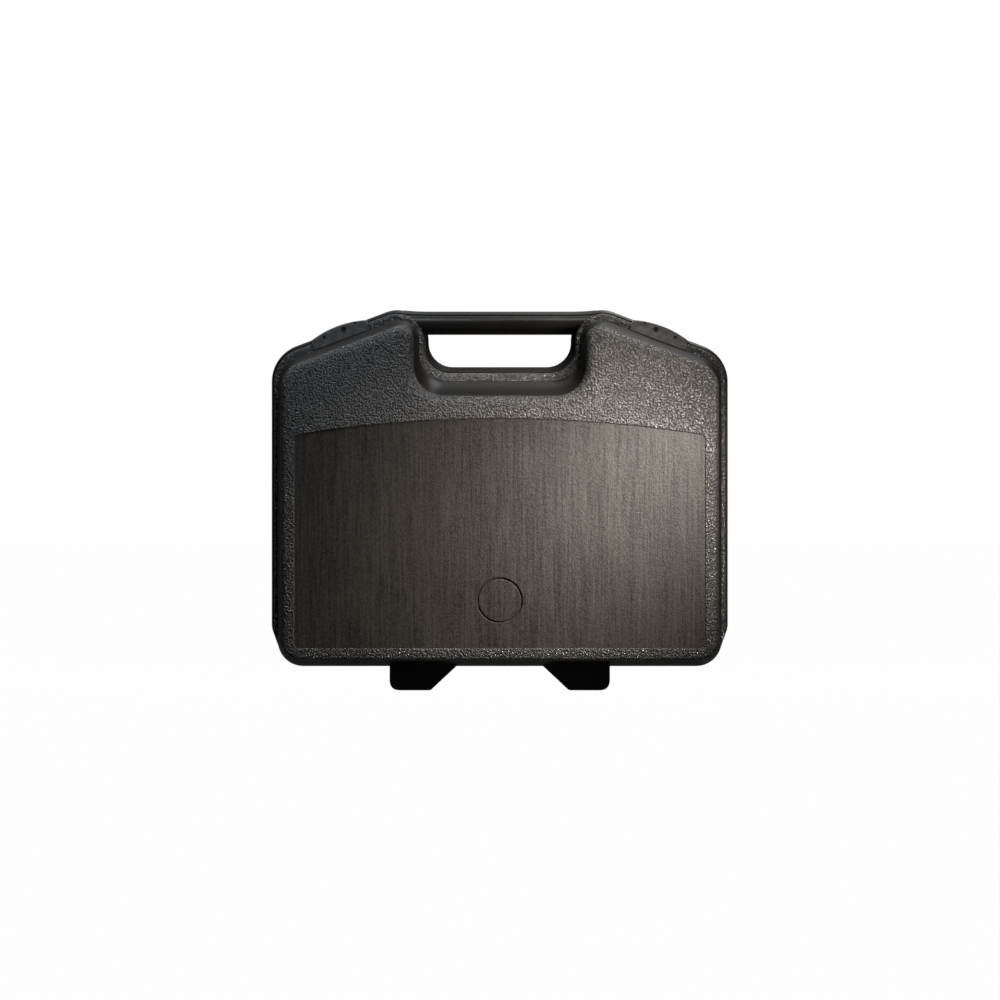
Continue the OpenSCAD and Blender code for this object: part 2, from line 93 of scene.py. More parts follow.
class Value:
    """A number socket that takes part in Python's arithmetic by adding Math nodes."""

    def __init__(self, book: "NodeBook", socket: NodeSocket) -> None:
        """Keeps the socket and the book that its nodes go into."""
        self.book = book
        self.socket = socket

    def math(self, operation: str, first: Any, second: Any, clamp: bool = False) -> "Value":
        """The result of a new Math node on two values or numbers."""
        return self.book.value("ShaderNodeMath", 0, {"operation": operation, "use_clamp": clamp},
                               {0: first, 1: second})

    def __add__(self, other: Any) -> "Value":
        """The sum."""
        return self.math("ADD", self, other)

    def __radd__(self, other: Any) -> "Value":
        """The sum, reflected."""
        return self.math("ADD", other, self)

    def __sub__(self, other: Any) -> "Value":
        """The difference."""
        return self.math("SUBTRACT", self, other)

    def __rsub__(self, other: Any) -> "Value":
        """The difference, reflected."""
        return self.math("SUBTRACT", other, self)

    def __mul__(self, other: Any) -> "Value":
        """The product."""
        return self.math("MULTIPLY", self, other)

    def __rmul__(self, other: Any) -> "Value":
        """The product, reflected."""
        return self.math("MULTIPLY", other, self)

    def clamped(self) -> "Value":
        """The value kept between 0 and 1."""
        return self.math("ADD", self, 0.0, clamp=True)

    def largest(self, other: Any) -> "Value":
        """The larger of the two values."""
        return self.math("MAXIMUM", self, other)
@dataclass(frozen=True)
class Noise:
    """Soft noise: a blot's width in millimetres, its finer layers, their weight, and the stretch of the pattern."""

    size: float
    detail: float = 2.0
    rough: float = 0.5
    stretch: Triple = EVEN
class NodeBook:
    """Writes the nodes of one material or world."""

    def __init__(self, tree: bpy.types.NodeTree) -> None:
        """Starts with an empty tree."""
        self.tree = tree
        tree.nodes.clear()

    def node(self, kind: str, settings: dict[str, Any] | None = None,
             inputs: dict[Any, Any] | None = None) -> bpy.types.Node:
        """Adds a node, sets its settings first and then its sockets.

        Args:
            kind: The node's type.
            settings: Attributes of the node, such as an operation, or a ramp's stops.
            inputs: Numbers, colours, Values or outputs, by the input's name or number.

        Returns:
            The new node.
        """
        node = self.tree.nodes.new(kind)
        for name, setting in (settings or {}).items():
            if name == "stops":
                for element, (place, level) in zip(node.color_ramp.elements, setting):
                    element.position = place
                    element.color = (level, level, level, 1.0)
            else:
                setattr(node, name, setting)
        for name, given in (inputs or {}).items():
            source = given.socket if isinstance(given, Value) else given
            if isinstance(source, NodeSocket):
                self.tree.links.new(source, node.inputs[name])
            else:
                node.inputs[name].default_value = source
        return node
    def value(self, kind: str, output: Any, settings: dict[str, Any] | None = None,
              inputs: dict[Any, Any] | None = None) -> Value:
        """Adds a node and hands back one of its outputs as a Value."""
        return Value(self, self.node(kind, settings, inputs).outputs[output])

    def ramp(self, value: Value, low: float, high: float) -> Value:
        """A value stretched so that low becomes 0 and high becomes 1."""
        return self.value("ShaderNodeValToRGB", 0, {"stops": ((low, 0.0), (high, 1.0))}, {0: value})

    def blend(self, factor: Value, first: Triple, second: Triple) -> NodeSocket:
        """The mix of two colours; the factor says how much of the second there is."""
        return self.node("ShaderNodeMix", {"data_type": "RGBA", "blend_type": "MIX"},
                         {0: factor, 6: (*first, 1.0), 7: (*second, 1.0)}).outputs[2]

    def place(self, stretch: Triple = EVEN) -> NodeSocket:
        """The place on the object, stretched for a pattern.

        Args:
            stretch: How the pattern is stretched along X, Y and Z.

        Returns:
            The vector socket.
        """
        coords = self.node("ShaderNodeTexCoord").outputs["Object"]
        if stretch == EVEN:
            return coords
        return self.node("ShaderNodeMapping", {"vector_type": "POINT"},
                         {"Vector": coords, "Scale": stretch}).outputs[0]

    def noise(self, pattern: Noise) -> Value:
        """Soft noise from 0 to 1."""
        return self.value("ShaderNodeTexNoise", "Fac", {"noise_dimensions": "3D"},
                          {"Vector": self.place(pattern.stretch), "Scale": 1.0 / (pattern.size * MM),
                           "Detail": pattern.detail, "Roughness": pattern.rough})

    def cells(self, size: float) -> Value:
        """The distance, in parts of a cell, to the nearest of points scattered some millimetres apart."""
        return self.value("ShaderNodeTexVoronoi", "Distance", {"feature": "F1", "voronoi_dimensions": "3D"},
                          {"Vector": self.place(), "Scale": 1.0 / (size * MM)})

    def bump(self, height: Value, depth: float, below: NodeSocket | None = None) -> NodeSocket:
        """A normal that follows a height.

        Args:
            height: The height from 0 to 1.
            depth: The height of 1 in millimetres.
            below: The normal of a coarser layer.

        Returns:
            The normal's socket.
        """
        inputs = {"Height": height, "Distance": depth * MM, "Strength": 1.0}
        if below is not None:
            inputs["Normal"] = below
        return self.node("ShaderNodeBump", None, inputs).outputs[0]

    def surface(self, sockets: dict[str, Any]) -> None:
        """Ends the book with a Principled shader, whose sockets are given by name."""
        shader = self.node("ShaderNodeBsdfPrincipled", None, sockets)
        self.node("ShaderNodeOutputMaterial", None, {"Surface": shader.outputs[0]})


def new_book(name: str) -> tuple[Material, NodeBook]:
    """Makes a new material and the book of its nodes.

    Args:
        name: The material's name.

    Returns:
        Both.
    """
    material = bpy.data.materials.new(name)
    material.use_nodes = True
    return material, NodeBook(material.node_tree)


# ---------------------------------------------------------------- finishes


@dataclass(frozen=True)
class GrainedPlastic:
    """Black polyethylene with the pebbled grain of the mould: domes and creases, with shinier tips. Their colour is
    painted light: a painted highlight on the tips and painted shade in the pits.
    """

    name: str = "pebbled plastic"
    # The pit colour is painted shade in the grain's hollows. The tip colour is a painted highlight on its domes.
    pit_painted_shade: Triple = (0.002, 0.0018, 0.0016)
    tip_painted_highlight: Triple = (0.100, 0.093, 0.087)
    grain: float = 1.8
    fall: float = 1.7
    creases: Noise = Noise(1.188, 1.5, 0.55)
    patches: Noise = Noise(38.0)
    depth: float = 0.9
    shine: float = 0.17
    dullness: float = 0.5
    specular: float = 0.95

    def material(self) -> Material:
        """Builds the material.

        Returns:
            The material.
        """
        material, book = new_book(self.name)
        reach = book.cells(self.grain)
        domes = (1.0 - reach * reach * self.fall).clamped()
        creases = book.ramp(book.noise(self.creases), 0.36, 0.64)
        height = domes * 0.6 + creases * 0.4
        tips = book.ramp(height, 0.45, 0.80)
        patches = book.noise(self.patches)
        # Base Color runs from the painted shade in the pits up to the painted highlight on the tips. The roughness
        # follows the same tips.
        book.surface({
            "Base Color": book.blend(tips * (0.5 + patches * 0.8), self.pit_painted_shade, self.tip_painted_highlight),
            "Roughness": self.shine + (1.0 - tips) * self.dullness,
            "Specular IOR Level": self.specular,
            "Normal": book.bump(height, self.depth)})
        return material


@dataclass(frozen=True)
class SmoothPlastic:
    """The same plastic where the mould is polished: rim, scoops, handle, feet and tray."""

    name: str = "smooth plastic"
    colour: Triple = (0.0048, 0.0042, 0.0035)
    dull: Triple = (0.0125, 0.0108, 0.0088)
    roughness: float = 0.33
    patches: Noise = Noise(26.0, 3.0, 0.6)
    specks: Noise = Noise(1.1, 2.0, 0.6)
    speck_depth: float = 0.035
    swell: Noise = Noise(34.0, 1.0)
    swell_depth: float = 0.35
    specular: float = 0.25

    def material(self) -> Material:
        """Builds the material.

        Returns:
            The material.
        """
        material, book = new_book(self.name)
        patches, specks = book.noise(self.patches), book.noise(self.specks)
        colour = book.blend((patches * 0.75 + specks * 0.3).clamped(), self.colour, self.dull)
        swell = book.bump(book.noise(self.swell), self.swell_depth)
        book.surface({
            "Base Color": colour,
            "Roughness": self.roughness + patches * 0.12,
            "Specular IOR Level": self.specular,
            "Normal": book.bump(specks, self.speck_depth, swell)})
        return material


@dataclass(frozen=True)
class PanelPlastic:
    """The flat panel, whose mould was ground with long vertical strokes."""

    name: str = "ground panel"
    dark: Triple = (0.006, 0.0052, 0.0044)
    light: Triple = (0.062, 0.053, 0.0455)
    strokes: Noise = Noise(1.7, 3.0, 0.7, (1.0, 1.0, 0.03))
    broad: Noise = Noise(7.0, 2.0, 0.5, (1.0, 1.0, 0.05))
    clouds: Noise = Noise(55.0, 3.0, 0.55)
    specks: Noise = Noise(1.3, 1.0, 0.6)
    stroke_depth: float = 0.13
    cloud_depth: float = 0.6
    roughness: float = 0.44

    def material(self) -> Material:
        """Builds the material.

        Returns:
            The material.
        """
        material, book = new_book(self.name)
        strokes, broad, clouds = (book.noise(pattern) for pattern in (self.strokes, self.broad, self.clouds))
        specks = book.ramp(book.noise(self.specks), 0.36, 0.64)
        tone = (book.ramp(strokes, 0.36, 0.64) * 0.5 + broad * 0.35 + clouds * 0.25 + specks * 0.45 - 0.36).clamped()
        book.surface({
            "Base Color": book.blend(tone, self.dark, self.light),
            "Roughness": self.roughness + broad * 0.16,
            "Normal": book.bump(strokes * 0.7 + specks * 0.5, self.stroke_depth,
                                book.bump(clouds, self.cloud_depth))})
        return material


@dataclass(frozen=True)
class LatchPlastic:
    """The latches' harder plastic, cooler in tone, with faint flow marks."""

    name: str = "latch plastic"
    colour: Triple = (0.050, 0.049, 0.049)
    worn: Triple = (0.150, 0.142, 0.134)
    roughness: float = 0.5
    flow: Noise = Noise(5.0, 3.0, 0.6, (1.0, 1.0, 1.6))
    sand: Noise = Noise(0.55, 2.0, 0.7)
    sand_depth: float = 0.03

    def material(self) -> Material:
        """Builds the material.

        Returns:
            The material.
        """
        material, book = new_book(self.name)
        flow, sand = book.noise(self.flow), book.noise(self.sand)
        book.surface({
            "Base Color": book.blend(book.ramp(flow * 0.7 + sand * 0.35, 0.42, 0.78), self.colour, self.worn),
            "Roughness": self.roughness + sand * 0.14,
            "Normal": book.bump(sand, self.sand_depth)})
        return material


@dataclass(frozen=True)
class OpenFoam:
    """Open-cell foam: a fine field of pores, whose darker colour is painted shade."""

    name: str
    skin: Triple = (0.052, 0.052, 0.056)
    pore_painted_shade: Triple = (0.012, 0.012, 0.013)
    pore_size: float = 1.1
    pore_depth: float = 0.4
    clouds: Noise = Noise(30.0)
    roughness: float = 0.95
    sheen: float = 0.15
    sheen_roughness: float = 0.6

    def material(self) -> Material:
        """Builds the material.

        Returns:
            The material.
        """
        material, book = new_book(self.name)
        walls = book.ramp(book.cells(self.pore_size), 0.12, 0.55)
        clouds = book.noise(self.clouds)
        # The darker colour in the middle of each cell is painted shade in the pores.
        book.surface({
            "Base Color": book.blend((walls * 0.8 + clouds * 0.2).clamped(), self.pore_painted_shade, self.skin),
            "Roughness": self.roughness,
            "Sheen Weight": self.sheen,
            "Sheen Roughness": self.sheen_roughness,
            "Normal": book.bump(walls, self.pore_depth)})
        return material


@dataclass(frozen=True)
class DrawnSteel:
    """Bright drawn wire with fine rings round it."""

    name: str = "drawn steel"
    colour: Triple = (0.58, 0.58, 0.60)
    film_colour: Triple = (0.42, 0.42, 0.43)
    rings: Noise = Noise(0.4, 2.0, 0.6, (1.0, 0.05, 0.4))
    ring_depth: float = 0.01
    film: Noise = Noise(4.0)
    roughness: float = 0.24

    def material(self) -> Material:
        """Builds the material.

        Returns:
            The material.
        """
        material, book = new_book(self.name)
        rings, film = book.noise(self.rings), book.noise(self.film)
        book.surface({
            "Base Color": book.blend(film * 0.5, self.colour, self.film_colour),
            "Metallic": 1.0,
            "Roughness": self.roughness + rings * 0.16,
            "Normal": book.bump(rings, self.ring_depth)})
        return material


# ---------------------------------------------------------------- bench


class Bench:
    """Where meshes are skinned, cut, joined and finished."""

    WELD = 0.002
    FINE_FROM = 1.5
    MOST = 0.48

    @staticmethod
    def only(items: Iterable[Any], kind: type) -> list[Any]:
        """Picks the items of one kind, such as the vertices among all that an operator made."""
        return [item for item in items if isinstance(item, kind)]

    @staticmethod
    def skin(rings: Sequence[Sequence[Vector]], bands: Sequence[int]) -> BMesh:
        """Skins a solid over rings of equal length, by extruding the edge of a round sheet from ring to ring.

        Args:
            rings: The rings' points, in millimetres.
            bands: The material slot of the band that leads up to each ring.

        Returns:
            The solid in metres.
        """
        mesh = bmesh.new()
        start = bmesh.ops.create_circle(mesh, cap_ends=True, radius=1.0, segments=len(rings[0]))["verts"]
        order = {vert: index for index, vert in enumerate(start)}
        for vert, index in order.items():
            vert.co = rings[0][index] * MM
        for face in mesh.faces:
            face.material_index = bands[0]
        rim = mesh.edges[:]
        for ring, band in zip(rings[1:], bands[1:]):
            made = bmesh.ops.extrude_edge_only(mesh, edges=rim)["geom"]
            fresh = {}
            for vert in Bench.only(made, BMVert):
                parent = next(edge.other_vert(vert) for edge in vert.link_edges if edge.other_vert(vert) in order)
                fresh[vert] = order[parent]
                vert.co = ring[order[parent]] * MM
            for face in Bench.only(made, BMFace):
                face.material_index = band
            rim = [edge for edge in Bench.only(made, BMEdge) if edge.verts[0] in fresh and edge.verts[1] in fresh]
            order = fresh
        for face in bmesh.ops.contextual_create(mesh, geom=rim)["faces"]:
            face.material_index = bands[-1]
        bmesh.ops.recalc_face_normals(mesh, faces=mesh.faces)
        return mesh

    @staticmethod
    def soften(rings: Sequence[Sequence[Vector]], bands: Sequence[int],
               radii: Sequence[float]) -> tuple[list[list[Vector]], list[int]]:
        """Rounds the corners that a row of rings makes.

        Args:
            rings: The rings' points.
            bands: The material slot of each band.
            radii: How far each ring's corner is rounded, in millimetres.

        Returns:
            The longer row of rings and its bands.
        """
        soft_rings, soft_bands = [list(rings[0])], [bands[0]]
        for before, here, after, band, after_band, radius in zip(
                rings, rings[1:], rings[2:], bands[1:], bands[2:], radii[1:]):
            if radius <= 0:
                soft_rings.append(list(here))
                soft_bands.append(band)
                continue
            steps = 4 if radius < Bench.FINE_FROM else 8
            for t in (step / steps for step in range(steps + 1)):
                soft_rings.append([Bench.corner(a, p, b, radius, t) for a, p, b in zip(before, here, after)])
                soft_bands.append(band if t <= 0.5 else after_band)
        return [*soft_rings, list(rings[-1])], [*soft_bands, bands[-1]]

    @staticmethod
    def corner(before: Vector, corner: Vector, after: Vector, radius: float, t: float) -> Vector:
        """A point on the curve that rounds a corner.

        Args:
            before: The point before the corner.
            corner: The corner itself.
            after: The point after it.
            radius: How far from the corner the curve starts.
            t: The place on the curve from 0 to 1.

        Returns:
            The point.
        """
        start, end = (corner + way * min(Bench.MOST, radius / max(way.length, TINY))
                      for way in (before - corner, after - corner))
        return start * (1 - t) ** 2 + corner * 2 * t * (1 - t) + end * t * t

    @staticmethod
    def rounded(corners: Sequence[Triple], steps: int = 5) -> list[Point]:
        """A polygon with its corners rounded.

        Args:
            corners: Each corner's two coordinates and how far it is rounded.
            steps: The segments of a rounded corner.

        Returns:
            The points of the rounded polygon.
        """
        points: list[Point] = []
        for index, (x, y, radius) in enumerate(corners):
            before = Vector(corners[index - 1][:2]).to_3d()
            after = Vector(corners[(index + 1) % len(corners)][:2]).to_3d()
            here = Vector((x, y, 0.0))
            for step in range(steps + 1) if radius > 0 else (0,):
                point = Bench.corner(before, here, after, radius, step / steps) if radius > 0 else here
                points.append((point.x, point.y))
        return points

    @staticmethod
    def piece(name: str, mesh: BMesh, materials: Sequence[Material] = ()) -> Object:
        """Makes an object at the origin from a bmesh.

        Args:
            name: The piece's name.
            mesh: Its shape in metres, which is used up.
            materials: Its materials, by slot.

        Returns:
            The object.
        """
        data = bpy.data.meshes.new(name)
        mesh.to_mesh(data)
        mesh.free()
        for material in materials:
            data.materials.append(material)
        thing = bpy.data.objects.new(name, data)
        bpy.context.scene.collection.objects.link(thing)
        return thing

    @staticmethod
    def lifted(thing: Object) -> BMesh:
        """Takes the shape off a helper object, which is removed.

        Args:
            thing: The helper.

        Returns:
            Its shape.
        """
        mesh = bmesh.new()
        mesh.from_mesh(thing.data)
        bpy.data.objects.remove(thing)
        return mesh

    @staticmethod
    def bevel(mesh: BMesh, edges: Sequence[BMEdge], offset: float, segments: int = 3) -> None:
        """Rounds edges of a shape by an offset in its own unit."""
        bmesh.ops.bevel(mesh, geom=edges, offset=offset, affect="EDGES", segments=segments, profile=0.5, material=-1)

    @staticmethod
    def block(low: Iterable[float], high: Iterable[float], matrix: Matrix | None = None) -> BMesh:
        """A box between two corners.

        Args:
            low: Its lowest corner in millimetres.
            high: Its highest corner.
            matrix: Where the box is placed, in millimetres.

        Returns:
            The box in metres.
        """
        low, high = Vector(low), Vector(high)
        mesh = bmesh.new()
        bmesh.ops.create_cube(mesh, size=1.0)
        bmesh.ops.scale(mesh, vec=high - low, verts=mesh.verts)
        bmesh.ops.translate(mesh, vec=(low + high) / 2, verts=mesh.verts)
        return Bench.placed(mesh, matrix)

    @staticmethod
    def rod(start: Iterable[float], end: Iterable[float], radius: float, matrix: Matrix | None = None,
            segments: int = 48, edge: float = 0.0) -> BMesh:
        """A round bar between two points in millimetres.

        Args:
            start: The middle of one end.
            end: The middle of the other end.
            radius: The bar's radius.
            matrix: Where the bar is placed, in millimetres.
            segments: The sides of the bar.
            edge: How far its end edges are rounded.

        Returns:
            The bar in metres.
        """
        start, end = Vector(start), Vector(end)
        along = end - start
        mesh = bmesh.new()
        bmesh.ops.create_cone(mesh, cap_ends=True, segments=segments, radius1=radius, radius2=radius,
                              depth=along.length)
        if edge > 0:
            ends = [item for item in mesh.edges if abs(item.verts[0].co.z - item.verts[1].co.z) < 1e-4]
            Bench.bevel(mesh, ends, edge)
        turn = Vector((0, 0, 1)).rotation_difference(along.normalized()).to_matrix().to_4x4()
        bmesh.ops.transform(mesh, matrix=Matrix.Translation((start + end) / 2) @ turn, verts=mesh.verts)
        return Bench.placed(mesh, matrix)

    @staticmethod
    def prism(outline: Sequence[Point], low: float, high: float, axis: Axis) -> BMesh:
        """An outline extruded along an axis.

        Args:
            outline: The points: Y and Z where it runs along X, X and Z where it runs along Y.
            low: Where the prism starts, in millimetres.
            high: Where it ends.
            axis: The direction it runs in.

        Returns:
            The prism in metres.
        """
        mesh = bmesh.new()
        sheet = bmesh.ops.create_circle(mesh, cap_ends=True, radius=1.0, segments=len(outline))["verts"]
        for vert, (across, up) in zip(sheet, outline):
            vert.co = Vector((low, across, up)) if axis is Axis.X else Vector((across, low, up))
        made = bmesh.ops.extrude_face_region(mesh, geom=mesh.faces[:])["geom"]
        shift = Vector((0, 0, 0))
        shift[axis.value] = high - low
        bmesh.ops.translate(mesh, vec=shift, verts=Bench.only(made, BMVert))
        bmesh.ops.recalc_face_normals(mesh, faces=mesh.faces)
        return Bench.placed(mesh)

    @staticmethod
    def placed(mesh: BMesh, matrix: Matrix | None = None) -> BMesh:
        """Moves a shape by a matrix in millimetres and turns it into metres.

        Args:
            mesh: The shape.
            matrix: Its place, or nothing.

        Returns:
            The same bmesh.
        """
        if matrix is not None:
            bmesh.ops.transform(mesh, matrix=matrix, verts=mesh.verts)
            if matrix.determinant() < 0:
                bmesh.ops.recalc_face_normals(mesh, faces=mesh.faces)
        bmesh.ops.scale(mesh, vec=(MM, MM, MM), verts=mesh.verts)
        return mesh

    @staticmethod
    def doubled(mesh: BMesh) -> BMesh:
        """Adds a shape's mirror image on the other side of the case's middle.

        Args:
            mesh: The shape on the right.

        Returns:
            The same bmesh with both shapes.
        """
        made = bmesh.ops.duplicate(mesh, geom=mesh.verts[:] + mesh.edges[:] + mesh.faces[:])["geom"]
        bmesh.ops.scale(mesh, vec=(-1.0, 1.0, 1.0), verts=Bench.only(made, BMVert))
        bmesh.ops.reverse_faces(mesh, faces=Bench.only(made, BMFace))
        return mesh

    @staticmethod
    def combine(thing: Object, join: Join, *shapes: BMesh) -> None:
        """Cuts shapes out of a piece, joins them on or keeps what lies in them, one after the other.

        Args:
            thing: The piece, whose mesh is replaced.
            join: What the shapes do to it.
            shapes: The shapes in metres, which are used up.
        """
        for mesh in shapes:
            tool = Bench.piece(thing.name + "_tool", mesh, thing.data.materials[:])
            modifier = thing.modifiers.new("combine", "BOOLEAN")
            modifier.operation = join.value
            modifier.solver = "EXACT"
            modifier.object = tool
            result = bpy.data.meshes.new_from_object(thing.evaluated_get(bpy.context.evaluated_depsgraph_get()))
            thing.modifiers.remove(modifier)
            seam = bmesh.new()
            seam.from_mesh(result)
            bmesh.ops.remove_doubles(seam, verts=seam.verts, dist=Bench.WELD * MM)
            seam.to_mesh(result)
            seam.free()
            before, thing.data = thing.data, result
            bpy.data.meshes.remove(before)
            used = tool.data
            bpy.data.objects.remove(tool)
            bpy.data.meshes.remove(used)

    @staticmethod
    def finish(thing: Object, angle: float = 34.0) -> None:
        """Shades a piece smooth up to its real edges, and reports it.

        Args:
            thing: The piece.
            angle: The angle in degrees from which an edge is sharp.
        """
        thing.data.polygons.foreach_set("use_smooth", [True] * len(thing.data.polygons))
        thing.data.set_sharp_from_angle(angle=math.radians(angle))
        modifier = thing.modifiers.new("weigh", "WEIGHTED_NORMAL")
        modifier.keep_sharp = True
        modifier.weight = 50
        log.info("%s: %d faces", thing.name, len(thing.data.polygons))


# ---------------------------------------------------------------- outline


@dataclass(frozen=True)
class Inset:
    """How far a ring lies inside the rim's outline, at five places round it."""

    side: float
    bottom: float
    shoulder: float
    beside: float
    below: float

    def deeper(self, by: float) -> "Inset":
        """This inset, further in all round."""
        return Inset(*(a + by for a in astuple(self)))

    def toward(self, other: "Inset", t: float) -> "Inset":
        """The inset part of the way to another."""
        return Inset(*(a + t * (b - a) for a, b in zip(astuple(self), astuple(other))))


FACE_EDGE = Inset(11.5, 7.27, 21.6, 19.5, 31.0)


@dataclass(frozen=True)
class Outline:
    """The case seen from the front: straight sides, sloping shoulders, two humps and the hand's gap between them."""

    half_w: float = 180.0
    foot_h: float = 18.9
    slope: float = 20.7
    shoulder_c: float = 310.751
    hump_r: float = 24.7
    grip_x: float = 56.0
    grip_r: float = 19.0
    grip_growth: float = 0.2
    grip_floor: float = 255.0
    top_r: float = 30.0
    top_share: float = 0.7
    bottom_r: float = 20.0
    rim_turn: float = -21.0
    rim_end_z: float = 49.0
    rim_run: Point = (0.45, 0.9)
    wall_side: float = 5.0
    panel_x: float = 162.0
    panel_low: float = 32.8
    panel_high: float = 201.3
    panel_arch: float = 13.1
    panel_r: float = 4.0
    dish_z: float = 71.0
    runs: tuple[int, ...] = (12, 10, 12, 14, 12, 20, 3, 14, 10)

    @staticmethod
    def arc(x: float, z: float, radius: float, start: float, end: float, steps: int) -> list[Point]:
        """Points on an arc.

        Args:
            x: The centre's X.
            z: The centre's Z.
            radius: The radius.
            start: The first angle in degrees.
            end: The last angle.
            steps: The number of segments.

        Returns:
            The points, both ends included.
        """
        turns = [math.radians(start + (end - start) * step / steps) for step in range(steps + 1)]
        return [(x + radius * math.cos(turn), z + radius * math.sin(turn)) for turn in turns]

    @staticmethod
    def between(start: Point, end: Point, count: int,
                shift: float = 1.0) -> list[Point]:
        """Points inside a straight run.

        Args:
            start: Where the run starts.
            end: Where it ends.
            count: How many points lie on it.
            shift: 1 for points clear of both ends, 0.5 for a run that goes on in its mirror image.

        Returns:
            The points.
        """
        whole = count + 1 if shift == 1.0 else count
        places = [(step + shift) / whole for step in range(count)]
        return [(start[0] + (end[0] - start[0]) * t, start[1] + (end[1] - start[1]) * t) for t in places]

    def half(self, inset: Inset, least_r: float = 2.0) -> list[Point]:
        """The right half of the outline, from the middle of the bottom up to the middle of the hand's gap.

        Args:
            inset: How far inside the rim the ring lies.
            least_r: The smallest radius of its corners.

        Returns:
            X and Z of the points.
        """
        nx, nz = math.sin(math.radians(self.slope)), math.cos(math.radians(self.slope))
        side = self.half_w - inset.side
        low = self.foot_h + inset.bottom
        line = self.shoulder_c - inset.shoulder
        inner = self.grip_x + inset.beside
        floor = self.grip_floor - inset.below
        bottom_r = max(least_r, self.bottom_r - max(max(inset.side, self.wall_side) - self.wall_side, inset.bottom))
        top_r = max(least_r, self.top_r - self.top_share * inset.shoulder)
        peak_r = max(least_r, self.hump_r - inset.shoulder)
        grip_r = self.grip_r + self.grip_growth * inset.below
        corner = min(side, self.half_w - self.wall_side) - bottom_r
        top_z = (line - top_r - nx * (side - top_r)) / nz
        peak_z = (line - peak_r - nx * (inner + peak_r)) / nz
        base, turn, flank, top, slope, hump, beside, grip, gap = self.runs
        if inset.side < self.wall_side:
            bend = self.arc(corner, low + bottom_r, bottom_r, -90, self.rim_turn, turn - 3)
            x, z = bend[-1]
            bend += [(x + (side - x) * t, z + (self.rim_end_z - z) * t) for t in self.rim_run]
            bend.append((side, self.rim_end_z + 2.0))
        else:
            bend = self.arc(corner, low + bottom_r, bottom_r, -90, 0, turn)
        shoulder = self.arc(side - top_r, top_z, top_r, 0, 90 - self.slope, top)
        peak = self.arc(inner + peak_r, peak_z, peak_r, 90 - self.slope, 180, hump)
        hollow = self.arc(inner - grip_r, floor + grip_r, grip_r, 0, -90, grip)
        return (self.between((0.0, low), bend[0], base, 0.5) + bend
                + self.between(bend[-1], shoulder[0], flank) + shoulder
                + self.between(shoulder[-1], peak[0], slope) + peak
                + self.between(peak[-1], hollow[0], beside) + hollow
                + self.between(hollow[-1], (0.0, floor), gap, 0.5))

    def panel_half(self, grow: float) -> list[Point]:
        """The right half of the panel's outline, point for point with half.

        Args:
            grow: How far it is grown outwards.

        Returns:
            X and Z of the points.
        """
        radius = max(self.panel_r + grow, 1.0)
        arch_r = (self.panel_x ** 2 + self.panel_arch ** 2) / (2 * self.panel_arch)
        arch_z = self.panel_high + self.panel_arch - arch_r
        corner_x = self.panel_x + grow - radius
        corner_z = arch_z + math.sqrt((arch_r + grow - radius) ** 2 - corner_x ** 2)
        turned = math.degrees(math.atan2(corner_z - arch_z, corner_x))
        base, turn, flank, top = self.runs[:4]
        bend = self.arc(corner_x, self.panel_low - grow + radius, radius, -90, 0, turn)
        corner = self.arc(corner_x, corner_z, radius, 0, turned, top)
        rest = self.half(FACE_EDGE)[base + turn + 1 + flank + top:]
        lengths = [0.0]
        for a, b in zip(rest, rest[1:]):
            lengths.append(lengths[-1] + math.dist(a, b))
        whole = lengths[-1] + rest[-1][0]
        arch = []
        for length in lengths[1:]:
            angle = math.radians(turned + (90 - turned) * length / whole)
            arch.append(((arch_r + grow) * math.cos(angle), arch_z + (arch_r + grow) * math.sin(angle)))
        return (self.between((0.0, self.panel_low - grow), bend[0], base, 0.5) + bend
                + self.between(bend[-1], corner[0], flank) + corner + arch)

    @staticmethod
    def whole(half: Sequence[Point], y: float) -> list[Vector]:
        """A closed ring from its right half, at one depth."""
        return ([Vector((x, y, z)) for x, z in half] + [Vector((-x, y, z)) for x, z in reversed(half)])

    def dish(self, radius: float, y: float) -> list[Vector]:
        """A round ring about the dish's middle, point for point with the panel's.

        Args:
            radius: The ring's radius.
            y: Its depth.

        Returns:
            The ring.
        """
        turns = [math.atan2(z - self.dish_z, x) for x, z in self.panel_half(0.0)]
        return self.whole([(radius * math.cos(turn), self.dish_z + radius * math.sin(turn)) for turn in turns], y)


# ---------------------------------------------------------------- the moulded halves


@dataclass
class Shoulder:
    """The place of a latch on its shoulder, with its pin and snap ridge: X runs down the shoulder, Z out of it."""

    x: float = 127.3
    z: float = 284.0959
    slope: float = 20.7
    pin_y: float = 5.5
    pin_v: float = -4.3
    ridge_y: float = -9.9
    ridge_v: float = -6.2
    ridge_sides: int = 24
    ridge_edge: float = 0.6

    def matrix(self, mirror: bool = False) -> Matrix:
        """The place on the right shoulder, or its mirror image on the left."""
        right = Matrix.Translation((self.x, 0, self.z)) @ Matrix.Rotation(math.radians(self.slope), 4, "Y")
        return Matrix.Diagonal((-1, 1, 1, 1)) @ right if mirror else right

    def pin(self, reach: float, radius: float, mirror: bool = False) -> BMesh:
        """A round bar where the latch turns, as far to both sides as it reaches."""
        return Bench.rod((-reach, self.pin_y, self.pin_v), (reach, self.pin_y, self.pin_v), radius,
                         self.matrix(mirror))

    def ridge(self, reach: float, radius: float, mirror: bool = False) -> BMesh:
        """A bar with softened ends where the latch snaps over the rim."""
        return Bench.rod((-reach, self.ridge_y, self.ridge_v), (reach, self.ridge_y, self.ridge_v), radius,
                         self.matrix(mirror), self.ridge_sides, self.ridge_edge)


